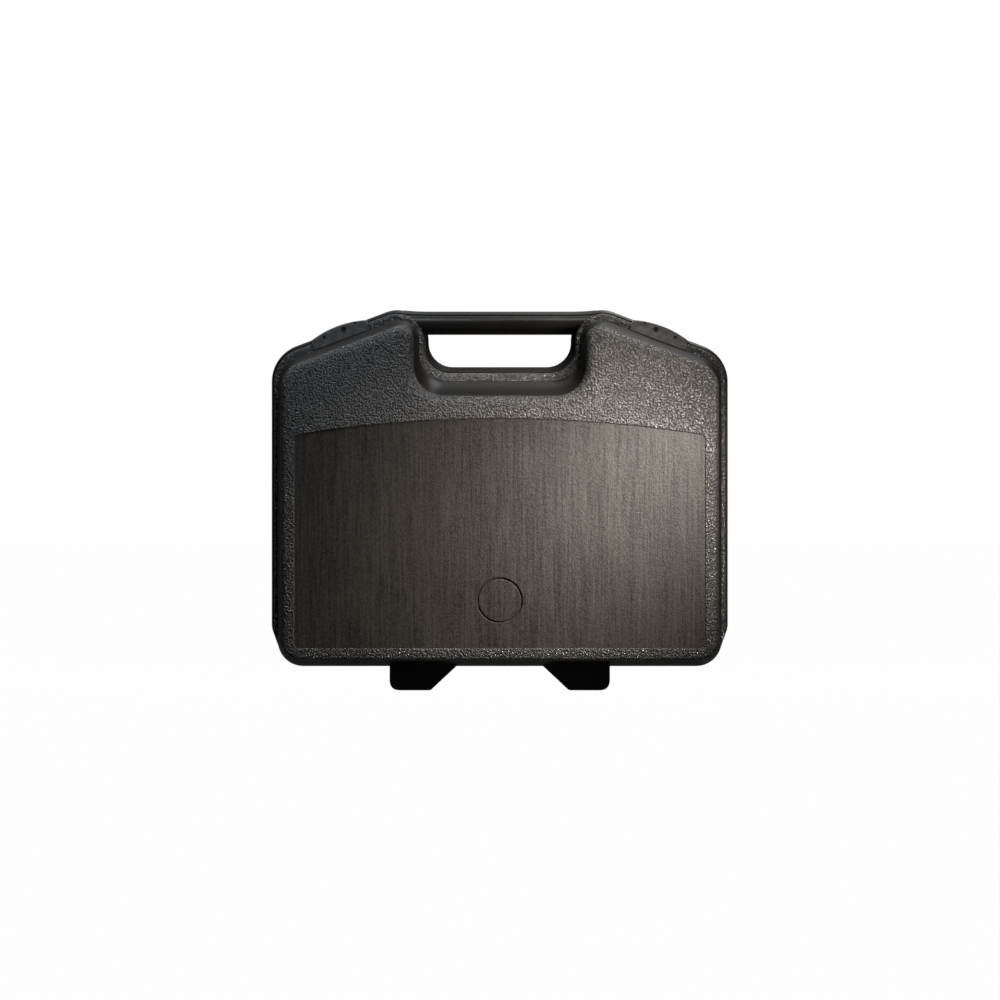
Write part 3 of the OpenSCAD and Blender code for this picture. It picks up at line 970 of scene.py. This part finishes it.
@dataclass
class Half:
    """One double-walled half with its part of the handle and its part of the hinge feet."""

    side: Side
    outline: Outline = field(default_factory=Outline)
    shoulder: Shoulder = field(default_factory=Shoulder)
    rows: list[tuple[list[Vector], Band, float]] = field(default_factory=list)
    land: float = 0.15
    depth: float = 55.0
    flange: Inset = Inset(0.8, 0.05, 1.6, 2.4, 4.0)
    bead_foot: Inset = Inset(1.45, 0.09, 2.9, 3.44, 5.04)
    bead_side: Inset = Inset(1.55, 0.10, 3.1, 3.64, 5.24)
    wall_root: Inset = Inset(5.0, 0.6, 8.6, 7.5, 11.0)
    wall_end: Inset = Inset(7.5, 4.6, 13.6, 11.5, 23.0)
    flange_d: float = 5.0
    rim_d: float = 13.0
    wall_d: float = 47.0
    face_d: float = 54.4
    recess: float = 0.8
    recess_draft: float = 0.5
    panel_margin: float = 1.6
    dish_r: float = 17.6
    dish_margin: float = 1.4
    dish_rings: tuple[Triple, ...] = ((0.6, 0.0, 0.3), (0.2, 1.5, 0.2), (-0.7, 1.5, 0.2), (-1.2, 0.4, 0.3),
                                      (-2.6, 0.4, 0.0))
    tray_d: float = 44.0
    tray_in: float = 14.0
    tray_draft: float = 3.0
    tray_r: float = 10.0
    tongue_in: float = 5.0
    tongue_w: float = 2.4
    tongue_h: float = 2.0
    tongue_gap: float = 0.4
    handle_low: float = 280.3
    handle_top: float = 298.8
    handle_h: float = 18.5
    handle_d: float = 11.0
    handle_reach: float = 75.8
    bar_low: float = 1.4
    bar_top: float = 3.7
    bar_turn: float = 84.0
    bar_power: float = 0.8
    flare_len: float = 20.0
    foot_d: float = 24.0
    foot_in: float = 54.5
    foot_root: float = 34.3
    foot_out: float = 86.8
    foot_r: float = 8.2
    foot_edge: float = 1.5
    foot_sink: float = 2.0
    hinge_z: float = 9.0
    knuckle_r: float = 8.9
    knuckle_x: float = 66.0
    knuckle_w: float = 12.0
    knuckle_play: float = 0.4
    barrel_d: float = 12.0
    pocket_top: float = 22.0
    bore: Triple = (50.5, 86.0, 2.04)
    foot_wall: float = 4.0
    foot_gap: float = 0.6
    seat_len: float = 47.8
    seat_play: float = 0.33
    lid_seats: tuple[tuple[float, ...], ...] = ((-14.0, 1.0, -4.0, 12.0), (-13.6, -10.5, -9.2, 11.0))
    base_seats: tuple[tuple[float, ...], ...] = ((-1.0, 5.5, -4.0, 12.0), (1.9, 14.0, -7.9, 11.0))
    pin_hole: Point = (28.2, 1.54)
    snap_ridge: Point = (14.1, 1.0)
    finishes: tuple[Material, ...] = ()

    def ring(self, inset: Inset, y: float, least_r: float = 2.0) -> list[Vector]:
        """A ring of the outline at a depth of this half."""
        return self.outline.whole(self.outline.half(inset, least_r), y * self.side.value)

    def panel_ring(self, grow: float, y: float) -> list[Vector]:
        """A ring of the panel's outline at a depth of this half."""
        return self.outline.whole(self.outline.panel_half(grow), y * self.side.value)

    def dish_ring(self, beyond: float, below: float) -> list[Vector]:
        """A ring round the dish, so far beyond its edge and so far below the panel."""
        return self.outline.dish(self.dish_r + beyond, (self.depth - self.recess - below) * self.side.value)

    def lay(self, band: Band, *rings: tuple[Inset, float, float], least_r: float = 2.0) -> None:
        """Adds rings that are given by their inset, their depth and how far the corner there is rounded."""
        self.rows += [(self.ring(inset, y, least_r), band, radius) for inset, y, radius in rings]

    def body(self) -> BMesh:
        """Skins the half from the tray's floor over the rim and round to the middle of the panel.

        Returns:
            The closed solid.
        """
        self.add_tray()
        self.add_rim()
        self.add_wall()
        self.add_panel()
        rings, bands, radii = zip(*self.rows)
        return Bench.skin(*Bench.soften(rings, [band.value for band in bands], radii))

    def add_tray(self) -> None:
        """Adds the tray and the land with its tongue or groove."""
        mouth = self.wall_root.deeper(self.tray_in)
        floor = mouth.deeper(self.tray_draft)
        slack, lip = (self.tongue_gap, -1.0) if self.side is Side.FRONT else (0.0, 1.0)
        lip_y = self.land - lip * (self.tongue_h + slack)
        outer = self.wall_root.deeper(self.tongue_in - slack)
        inner = self.wall_root.deeper(self.tongue_in + self.tongue_w + slack)
        self.lay(Band.TRAY, (floor.deeper(self.tray_draft), self.tray_d, 0.0), (floor, self.tray_d, 2.5),
                 (mouth, self.land, 1.0), least_r=self.tray_r)
        self.lay(Band.TRAY, (inner, self.land, 0.3), (inner, lip_y, 0.4), (outer, lip_y, 0.4),
                 (outer, self.land, 0.3))

    def add_rim(self) -> None:
        """Adds the tapered flange, the step and the pebbled bead."""
        self.lay(Band.TRAY, (Inset(0, 0, 0, 0, 0), self.land, 0.25))
        self.lay(Band.SMOOTH, (self.flange, self.flange_d, 0.45), (self.bead_foot, self.flange_d, 0.4))
        self.lay(Band.GRAIN, (self.bead_side, self.rim_d, 3.4), (self.wall_root, self.rim_d, 0.5))

    def add_wall(self) -> None:
        """Adds the drafted wall, which scoops inwards below the handle, and the rounded edge of the face."""
        for t in (step / 8 for step in range(1, 9)):
            self.lay(Band.SMOOTH, (self.wall_root.toward(self.wall_end, t / 3 + 2 * t * t / 3),
                                   self.rim_d + (self.wall_d - self.rim_d) * t, 0.0))
        for turn in (math.radians(9 * step) for step in range(1, 11)):
            self.lay(Band.GRAIN, (self.wall_end.toward(FACE_EDGE, 1 - math.cos(turn)),
                                  self.wall_d + math.sin(turn) * (self.face_d - self.wall_d), 0.0))

    def add_panel(self) -> None:
        """Adds the crowned face, the recessed panel and, in front, the round dish with its groove."""
        edge, rim = self.rows[-1][0], self.panel_ring(0.0, self.depth)
        for t in (step / 8 for step in range(1, 8)):
            ring = [a.lerp(b, t) for a, b in zip(edge, rim)]
            for point in ring:
                point.y = self.side.value * (self.face_d + (self.depth - self.face_d) * (1 - (1 - t) ** 2))
            self.rows.append((ring, Band.GRAIN, 0.0))
        low = self.depth - self.recess
        inside, middle = self.panel_ring(-self.panel_margin, low), self.dish_ring(self.dish_margin, 0.0)
        self.rows += [(rim, Band.GRAIN, 0.45), (self.panel_ring(-self.recess_draft, low), Band.GRAIN, 0.35),
                      (inside, Band.PANEL, 0.0)]
        self.rows += [([a.lerp(b, t) for a, b in zip(inside, middle)], Band.PANEL, 0.0) for t in (0.25, 0.5, 0.75)]
        self.rows.append((middle, Band.PANEL, 0.0))
        if self.side is Side.FRONT:
            self.rows += [(self.dish_ring(beyond, below), Band.PANEL, radius)
                          for beyond, below, radius in self.dish_rings]

    def handle(self) -> BMesh:
        """Half of the handle: a flange beside the parting plane, a step and a rounded bar.

        Returns:
            The bar in metres.
        """
        step_d = self.flange_d
        top, low = self.handle_top - self.bar_top, self.handle_low + self.bar_low
        turns = [math.radians(-self.bar_turn + 2 * self.bar_turn * step / 18) for step in range(19)]
        bar = [(step_d + (self.handle_d - step_d) * math.cos(turn) ** self.bar_power,
                (top + low) / 2 + (top - low) / 2 * math.sin(turn), 0.0) for turn in turns]
        section = Bench.rounded([
            (self.land, self.handle_low, 0.2), (step_d, self.handle_low + 0.7, 0.4), (step_d, low, 0.0), *bar,
            (step_d, top, 0.3), (step_d, self.handle_top - 2.4, 0.4), (self.land, self.handle_top, 0.2)])
        rings = []
        for x in (self.handle_reach * step / 24 for step in range(-24, 25)):
            rise = max(0.0, (abs(x) - self.outline.grip_x) / self.flare_len) ** 2
            rings.append([Vector((x, y * self.side.value, z + rise * (z - self.handle_low) / self.handle_h))
                          for y, z in section])
        return Bench.skin(rings, [Band.SMOOTH.value] * len(rings))

    def foot_top(self) -> float:
        """The height up to which a foot reaches into the body."""
        return self.outline.foot_h + self.foot_sink

    def foot_outline(self) -> list[Point]:
        """The right foot from the front: straight outer side, flat sole and slanted inner side."""
        slant = (self.foot_in - self.foot_root) / self.outline.foot_h
        return Bench.rounded([(self.foot_root - slant * self.foot_sink, self.foot_top(), 0.0),
                              (self.foot_in, 0.0, 1.6), (self.foot_out, 0.0, self.foot_r),
                              (self.foot_out, self.foot_top(), 0.0)], 8)

    def foot(self) -> BMesh:
        """The front half's right foot: a rounded block, closed in front, with a barrel and the knuckle's pocket.

        Returns:
            The foot in metres.
        """
        mesh = Bench.prism(self.foot_outline(), -self.foot_d, 0.0, Axis.Y)
        rim = [edge for edge in mesh.edges
               if all(abs(vert.co.y + self.foot_d * MM) < TINY for vert in edge.verts)
               and min(vert.co.z for vert in edge.verts) < (self.foot_top() - 0.5) * MM]
        Bench.bevel(mesh, rim, self.foot_edge * MM, 5)
        foot = Bench.piece("foot", mesh, self.finishes)
        barrel = Bench.piece("barrel", Bench.rod((self.foot_root, 0, self.hinge_z),
                                                 (self.foot_out + 5, 0, self.hinge_z), self.knuckle_r), self.finishes)
        Bench.combine(barrel, Join.KEEP, Bench.prism(self.foot_outline(), -self.barrel_d, self.barrel_d, Axis.Y))
        Bench.combine(foot, Join.ADD, Bench.lifted(barrel))
        low = self.knuckle_x - self.knuckle_w / 2
        Bench.combine(foot, Join.CUT, Bench.block(
            (low - self.knuckle_play, -self.foot_d + self.foot_wall, -1),
            (low + self.knuckle_w + self.knuckle_play, self.foot_d, self.pocket_top)))
        return Bench.lifted(foot)

    def knuckle(self) -> BMesh:
        """The rear half's right knuckle: a lug that hugs the pin and clears the front wall of the foot.

        Returns:
            The knuckle in metres.
        """
        reach = self.foot_d - self.foot_wall - self.foot_gap
        start, end = (math.degrees(math.asin((z - self.hinge_z) / reach)) for z in (0.0, self.foot_top()))
        section = (Outline.arc(0.0, self.hinge_z, reach, start, end, 12) + [(0.0, self.foot_top())]
                   + Outline.arc(0.0, self.hinge_z, self.knuckle_r, 90, 270, 24))
        low = self.knuckle_x - self.knuckle_w / 2
        return Bench.prism(section, low, low + self.knuckle_w, Axis.X)

    def add_feet(self, thing: Object) -> None:
        """Joins the feet or the knuckles on, with their bores.

        Args:
            thing: The half.
        """
        lug = self.foot() if self.side is Side.FRONT else self.knuckle()
        Bench.combine(thing, Join.ADD, Bench.doubled(lug))
        start, end, radius = self.bore
        bore = Bench.rod((start, 0, self.hinge_z), (end, 0, self.hinge_z), radius)
        Bench.combine(thing, Join.CUT, Bench.doubled(bore))

    def add_seats(self, thing: Object) -> None:
        """Cuts the seats that the latches close into, and leaves the ridge that each latch snaps over.

        Args:
            thing: The half.
        """
        front = self.side is Side.FRONT
        reach = self.seat_len / 2 if front else self.seat_len / 2 - self.seat_play
        cuts = [Bench.block((-reach, y_low, v_low), (reach, y_high, v_high), self.shoulder.matrix())
                for y_low, y_high, v_low, v_high in (self.lid_seats if front else self.base_seats)]
        if not front:
            cuts.append(self.shoulder.pin(*self.pin_hole))
        Bench.combine(thing, Join.CUT, *(Bench.doubled(cut) for cut in cuts))
        if front:
            Bench.combine(thing, Join.ADD, Bench.doubled(self.shoulder.ridge(*self.snap_ridge)))

    def build(self) -> Object:
        """Builds the half and hands it to the frame.

        Returns:
            The piece.
        """
        front = self.side is Side.FRONT
        thing = Bench.piece("front_half" if front else "rear_half", self.body(), self.finishes)
        Bench.combine(thing, Join.ADD, self.handle())
        self.add_feet(thing)
        self.add_seats(thing)
        Bench.finish(thing)
        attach(thing, "lid" if front else "base")
        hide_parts("lid_shell" if front else "base_shell")
        return thing


# ---------------------------------------------------------------- latches


@dataclass
class Latch:
    """A snap latch: an arched bridge, a front plate over the rim and a barrel round the pin."""

    mirror: bool
    finish: Material
    dimple_shade_finish: Material
    shoulder: Shoulder = field(default_factory=Shoulder)
    length: float = 46.9
    steps: int = 28
    edge: float = 0.35
    crown: float = 3.6
    end_v: float = -0.2
    thick: float = 3.4
    front_y: float = -13.0
    plate: float = 2.1
    low_v: float = -8.4
    barrel_r: float = 3.2
    pin_hole: Point = (30.0, 1.55)
    snap_groove: Point = (14.5, 1.4)
    mark_depth: float = 0.9
    marks: tuple[Triple, ...] = ((-14.0, 0.6, 1.0), (-4.0, -1.2, 2.0), (12.4, -1.6, 1.3))

    def section(self, s: float) -> list[Vector]:
        """The latch cut across.

        Args:
            s: The place along the shoulder.

        Returns:
            The closed ring there.
        """
        pin_y, pin_v = self.shoulder.pin_y, self.shoulder.pin_v
        top = self.end_v + self.crown * (1 - (2 * s / self.length) ** 2)
        under = self.end_v - self.thick
        inner = self.front_y + self.plate
        corners = Bench.rounded([(self.front_y, self.low_v, 0.45), (self.front_y + 0.2, top - 0.3, 1.3),
                                 (pin_y + 1.0, top, 0.8), (pin_y + 1.9, pin_v + 2.6, 0.4)], 4)
        barrel = Outline.arc(pin_y, pin_v, self.barrel_r, 48, -128, 16)
        hook = Bench.rounded([(pin_y - 2.6, under, 0.5), (inner, under, 0.9), (inner, self.low_v, 0.4),
                              (self.front_y, self.low_v, 0.0)], 3)
        return [Vector((s, y, v)) for y, v in corners[:-1] + barrel + hook[:-1]]

    def blank(self) -> BMesh:
        """The latch in its place, before its holes are cut.

        Returns:
            The solid in metres.
        """
        places = [self.length * (step / self.steps - 0.5) for step in range(self.steps + 1)]
        mesh = Bench.skin([self.section(s) for s in places], [0] * len(places))
        ends = [edge for edge in mesh.edges
                if all(abs(abs(vert.co.x) - self.length / 2 * MM) < TINY for vert in edge.verts)
                and len(edge.link_faces) == 2]
        Bench.bevel(mesh, ends, self.edge * MM)
        metres = self.shoulder.matrix(self.mirror)
        metres.translation *= MM
        bmesh.ops.transform(mesh, matrix=metres, verts=mesh.verts)
        bmesh.ops.recalc_face_normals(mesh, faces=mesh.faces)
        return mesh

    def build(self) -> Object:
        """Builds the latch and hands it to the frame.

        Returns:
            The piece.
        """
        side = "left" if self.mirror else "right"
        thing = Bench.piece("snap_latch_" + side, self.blank(), [self.finish, self.dimple_shade_finish])
        Bench.combine(thing, Join.CUT, self.shoulder.pin(*self.pin_hole, self.mirror),
                      self.shoulder.ridge(*self.snap_groove, self.mirror))
        for s, v, radius in self.marks:
            mark = Bench.rod((s, self.front_y - 2, v), (s, self.front_y + self.mark_depth, v), radius,
                             self.shoulder.matrix(self.mirror), 24, 0.25)
            # The dimple's walls take the darker second material: painted shade inside the mark.
            for face in mark.faces:
                face.material_index = 1
            Bench.combine(thing, Join.CUT, mark)
        Bench.finish(thing)
        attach(thing, "latch_" + side)
        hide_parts("latch_" + side)
        return thing


# ---------------------------------------------------------------- foam


@dataclass
class FoamFitting:
    """The three sheets of foam: die-cut insert and backing in the rear half, peaked sheet in the front half."""

    insert_finish: Material
    backing_finish: Material
    outline: Outline = field(default_factory=Outline)
    inset: Inset = Inset(24.4, 20.0, 28.0, 26.9, 30.4)
    corner_r: float = 10.0
    face: float = 1.2
    step: float = 35.6
    back: float = 43.6
    seam: float = 0.1
    soft_edge: float = 1.2
    microphone: tuple[tuple[float, ...], ...] = ((-139, -59, 50.5, 106.5, 18), (-99, 57, 54.5, 102.5, 6))
    cable: tuple[float, ...] = (19, 137, 130.5, 206.5, 12)
    rounds: tuple[tuple[float, ...], ...] = ((-17.5, 54.5, 14, 48), (-17.5, 102.5, 14, 48), (-85, 168.5, 46, 72),
                                             (105, 78.5, 23, 48))
    valley: float = 12.0
    pitch: float = 36.0
    phase: float = 0.349
    grid: tuple[int, int] = (132, 104)
    grid_half: Point = (172.0, 130.0)
    grid_z: float = 134.0

    def sheet(self, low: float, high: float) -> BMesh:
        """A slab with the tray's outline between two depths."""
        ring = self.outline.whole(self.outline.half(self.inset, self.corner_r), 0.0)
        return Bench.prism([(point.x, point.z) for point in ring], low, high, Axis.Y)

    def declare(self, thing: Object, body: str, node: str) -> None:
        """Hands a sheet to the frame.

        Args:
            thing: The sheet.
            body: The body it rides on.
            node: The node it stands for.
        """
        Bench.finish(thing, 40.0)
        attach(thing, body)
        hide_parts(node)

    def cutter(self, x_low: float, x_high: float, z_low: float, z_high: float, radius: float) -> BMesh:
        """The cutter of a rectangular place with round corners.

        Args:
            x_low: Its left end.
            x_high: Its right end.
            z_low: Its lower end.
            z_high: Its upper end.
            radius: The radius of its corners.

        Returns:
            The cutter in metres.
        """
        points: list[Point] = []
        for x, z, start in ((x_high - radius, z_low + radius, -90), (x_high - radius, z_high - radius, 0),
                            (x_low + radius, z_high - radius, 90), (x_low + radius, z_low + radius, 180)):
            points += Outline.arc(x, z, radius, start, start + 90, 8)
        return Bench.prism(points, self.face - 5, self.back, Axis.Y)

    def insert(self) -> None:
        """The die-cut sheet with the places for the microphone, its mount, a cable and an adapter."""
        thing = Bench.piece("foam_tray", self.sheet(self.face, self.step - self.seam), [self.insert_finish])
        rounds = [Bench.rod((x, self.face - 5, z), (x, self.back, z), radius, segments=sides)
                  for x, z, radius, sides in self.rounds]
        Bench.combine(thing, Join.CUT, *(self.cutter(*sizes) for sizes in self.microphone), *rounds,
                      self.cutter(*self.cable))
        edge = thing.modifiers.new("soft edge", "BEVEL")
        edge.width = self.soft_edge * MM
        edge.segments = 3
        edge.limit_method = "ANGLE"
        edge.angle_limit = math.radians(55)
        self.declare(thing, "base", "foam_insert")

    def backing(self) -> None:
        """The plain sheet below the cut-outs."""
        thing = Bench.piece("foam_floor", self.sheet(self.step, self.back), [self.backing_finish])
        self.declare(thing, "base", "foam_backing")

    def peaked(self) -> None:
        """The convoluted sheet that holds the contents down."""
        mesh = bmesh.new()
        bmesh.ops.create_grid(mesh, x_segments=self.grid[0], y_segments=self.grid[1], size=1.0)
        for vert in mesh.verts:
            x, z = vert.co.x * self.grid_half[0], self.grid_z + vert.co.y * self.grid_half[1]
            wave = (1 - math.cos(math.tau * x / self.pitch + self.phase)
                    * math.cos(math.tau * z / self.pitch + self.phase)) / 2
            vert.co = Vector((x, -(self.face + self.valley * (0.12 + 0.88 * wave)), z))
        for vert in Bench.only(bmesh.ops.extrude_face_region(mesh, geom=mesh.faces[:])["geom"], BMVert):
            vert.co.y = -self.back
        bmesh.ops.recalc_face_normals(mesh, faces=mesh.faces)
        thing = Bench.piece("foam_peaks", Bench.placed(mesh), [self.insert_finish])
        Bench.combine(thing, Join.KEEP, self.sheet(-self.back + 0.01, -self.face))
        self.declare(thing, "lid", "lid_foam")


# ---------------------------------------------------------------- studio


@dataclass(frozen=True)
class Lamp:
    """A soft square lamp: place and aim in metres, power in watts, and the angle of the grid that narrows it."""

    name: str
    place: Triple
    aim: Triple
    size: float
    power: float
    colour: Triple
    spread: float = 180.0

    def hang(self) -> None:
        """Hangs the lamp."""
        data = bpy.data.lights.new(self.name, "AREA")
        data.spread = math.radians(self.spread)
        data.shape = "RECTANGLE"
        data.size = data.size_y = self.size
        data.energy = self.power
        data.color = self.colour
        lamp = bpy.data.objects.new(self.name, data)
        lamp.location = self.place
        lamp.rotation_euler = (Vector(self.aim) - Vector(self.place)).to_track_quat("-Z", "Y").to_euler()
        bpy.context.scene.collection.objects.link(lamp)


@dataclass
class Studio:
    """A pale floor, soft lights and a long lens square to the front."""

    reach: float = 12.0
    frame_w: float = 0.7895
    sensor: float = 36.0
    middle: Point = (0.0002, 0.15)
    floor_half: float = 40.0
    shade: Triple = (0.10, 0.10, 0.10)
    paint: Triple = (0.82, 0.82, 0.82)
    floor_glow: float = 0.985
    floor_mirrored: float = 0.05
    dim: float = 0.02
    mirrored: float = 0.8
    lamps: tuple[Lamp, ...] = (
        Lamp("key", (0.235, -0.285, 0.28), (0.07, -0.05, 0.143), 0.06, 0.46, (1.0, 0.935, 0.865), 60.0),
        Lamp("cool", (-0.12, -0.22, 0.62), (-0.12, -0.05, 0.25), 0.12, 0.12, (0.82, 0.91, 1.0), 50.0),
        Lamp("top", (0.16, -0.22, 0.75), (0.06, -0.03, 0.27), 0.1, 0.09, (1.0, 0.975, 0.94), 30.0),
        Lamp("rear", (0.45, 1.0, 1.5), (0.0, 0.05, 0.15), 0.6, 6.0, (0.97, 0.98, 1.0)))

    def floor(self) -> None:
        """The floor, almost white to the camera, faint in reflections, and still shaded by the case."""
        mesh = bmesh.new()
        bmesh.ops.create_grid(mesh, x_segments=1, y_segments=1, size=self.floor_half)
        material, book = new_book("pale floor")
        path = book.node("ShaderNodeLightPath")
        eye = Value(book, path.outputs["Is Camera Ray"]).largest(Value(book, path.outputs["Is Transmission Ray"]))
        seen = eye.largest(Value(book, path.outputs["Is Glossy Ray"]) * self.floor_mirrored)
        paint = book.node("ShaderNodeBsdfDiffuse", None, {"Color": book.blend(eye, self.shade, self.paint)})
        glow = book.node("ShaderNodeEmission", None, {"Color": (1.0, 1.0, 1.0, 1.0), "Strength": 1.0})
        mixed = book.node("ShaderNodeMixShader", None,
                          {0: seen * self.floor_glow, 1: paint.outputs[0], 2: glow.outputs[0]})
        book.node("ShaderNodeOutputMaterial", None, {"Surface": mixed.outputs[0]})
        floor = Bench.piece("floor", mesh, [material])

    def world(self) -> None:
        """A room that is white to the camera, bright above and behind the case in reflections, else dim."""
        world = bpy.data.worlds.new("room")
        bpy.context.scene.world = world
        world.use_nodes = True
        book = NodeBook(world.node_tree)
        path = book.node("ShaderNodeLightPath")
        camera = Value(book, path.outputs["Is Camera Ray"])
        mirror = Value(book, path.outputs["Is Glossy Ray"]).largest(Value(book, path.outputs["Is Transmission Ray"]))
        toward = book.node("ShaderNodeTexCoord").outputs["Generated"]
        parts = book.node("ShaderNodeSeparateXYZ", None, {0: toward})
        behind = book.ramp(Value(book, parts.outputs["Y"]), 0.15, 0.6)
        above = book.ramp(Value(book, parts.outputs["Z"]), 0.42, 0.75)
        white = camera.largest(mirror * behind * above * self.mirrored)
        strength = white + (1.0 - white) * self.dim
        back = book.node("ShaderNodeBackground", None, {"Color": (1.0, 1.0, 1.0, 1.0), "Strength": strength})
        book.node("ShaderNodeOutputWorld", None, {"Surface": back.outputs[0]})

    def camera(self) -> None:
        """The camera, square to the front at the height of the case's middle."""
        data = bpy.data.cameras.new("camera")
        data.sensor_width = self.sensor
        data.lens = self.sensor * self.reach / self.frame_w
        data.clip_end = 100.0
        camera = bpy.data.objects.new("camera", data)
        camera.location = (self.middle[0], -self.reach, self.middle[1])
        camera.rotation_euler = (math.radians(90), 0.0, 0.0)
        bpy.context.scene.collection.objects.link(camera)
        bpy.context.scene.camera = camera

    def build(self) -> None:
        """Sets up the floor, the room, the lamps and the camera: warm key, cool light above the left, soft rear."""
        bpy.context.scene.view_settings.view_transform = "Standard"
        self.floor()
        self.world()
        for lamp in self.lamps:
            lamp.hang()
        self.camera()


def dress_pins(finish: Material) -> None:
    """Gives the pins of the frame their steel.

    Args:
        finish: The material.
    """
    for name in ("latch_pin_left", "latch_pin_right", "hinge_pin_left", "hinge_pin_right"):
        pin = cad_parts[name]
        if not pin.material_slots:
            pin.data.materials.append(None)
        for slot in pin.material_slots:
            slot.link = "OBJECT"
            slot.material = finish
        log.info("%s: steel", name)


def main() -> None:
    """Builds the dressed case, piece by piece."""
    logging.basicConfig(level=logging.INFO, format="%(name)s %(message)s")
    Studio().build()
    smooth, grain = SmoothPlastic().material(), GrainedPlastic().material()
    panel = PanelPlastic().material()
    tray = SmoothPlastic("tray plastic", (0.016, 0.015, 0.014), (0.026, 0.024, 0.022), 0.42).material()
    for side in Side:
        Half(side, finishes=(smooth, grain, panel, tray)).build()
    latch = LatchPlastic().material()
    # This darker latch material is painted shade for the inside of the dimples.
    marks = LatchPlastic("dimple shade", (0.007, 0.007, 0.0075), (0.020, 0.019, 0.018), 0.7).material()
    for mirror in (False, True):
        Latch(mirror, latch, marks).build()
    # The second colour of each foam is the painted shade in its pores.
    foam = FoamFitting(OpenFoam("charcoal foam").material(),
                       OpenFoam("foam sheet", (0.078, 0.078, 0.083), (0.02, 0.02, 0.021)).material())
    foam.insert()
    foam.backing()
    foam.peaked()
    dress_pins(DrawnSteel().material())


if __name__ == "__main__":
    main()
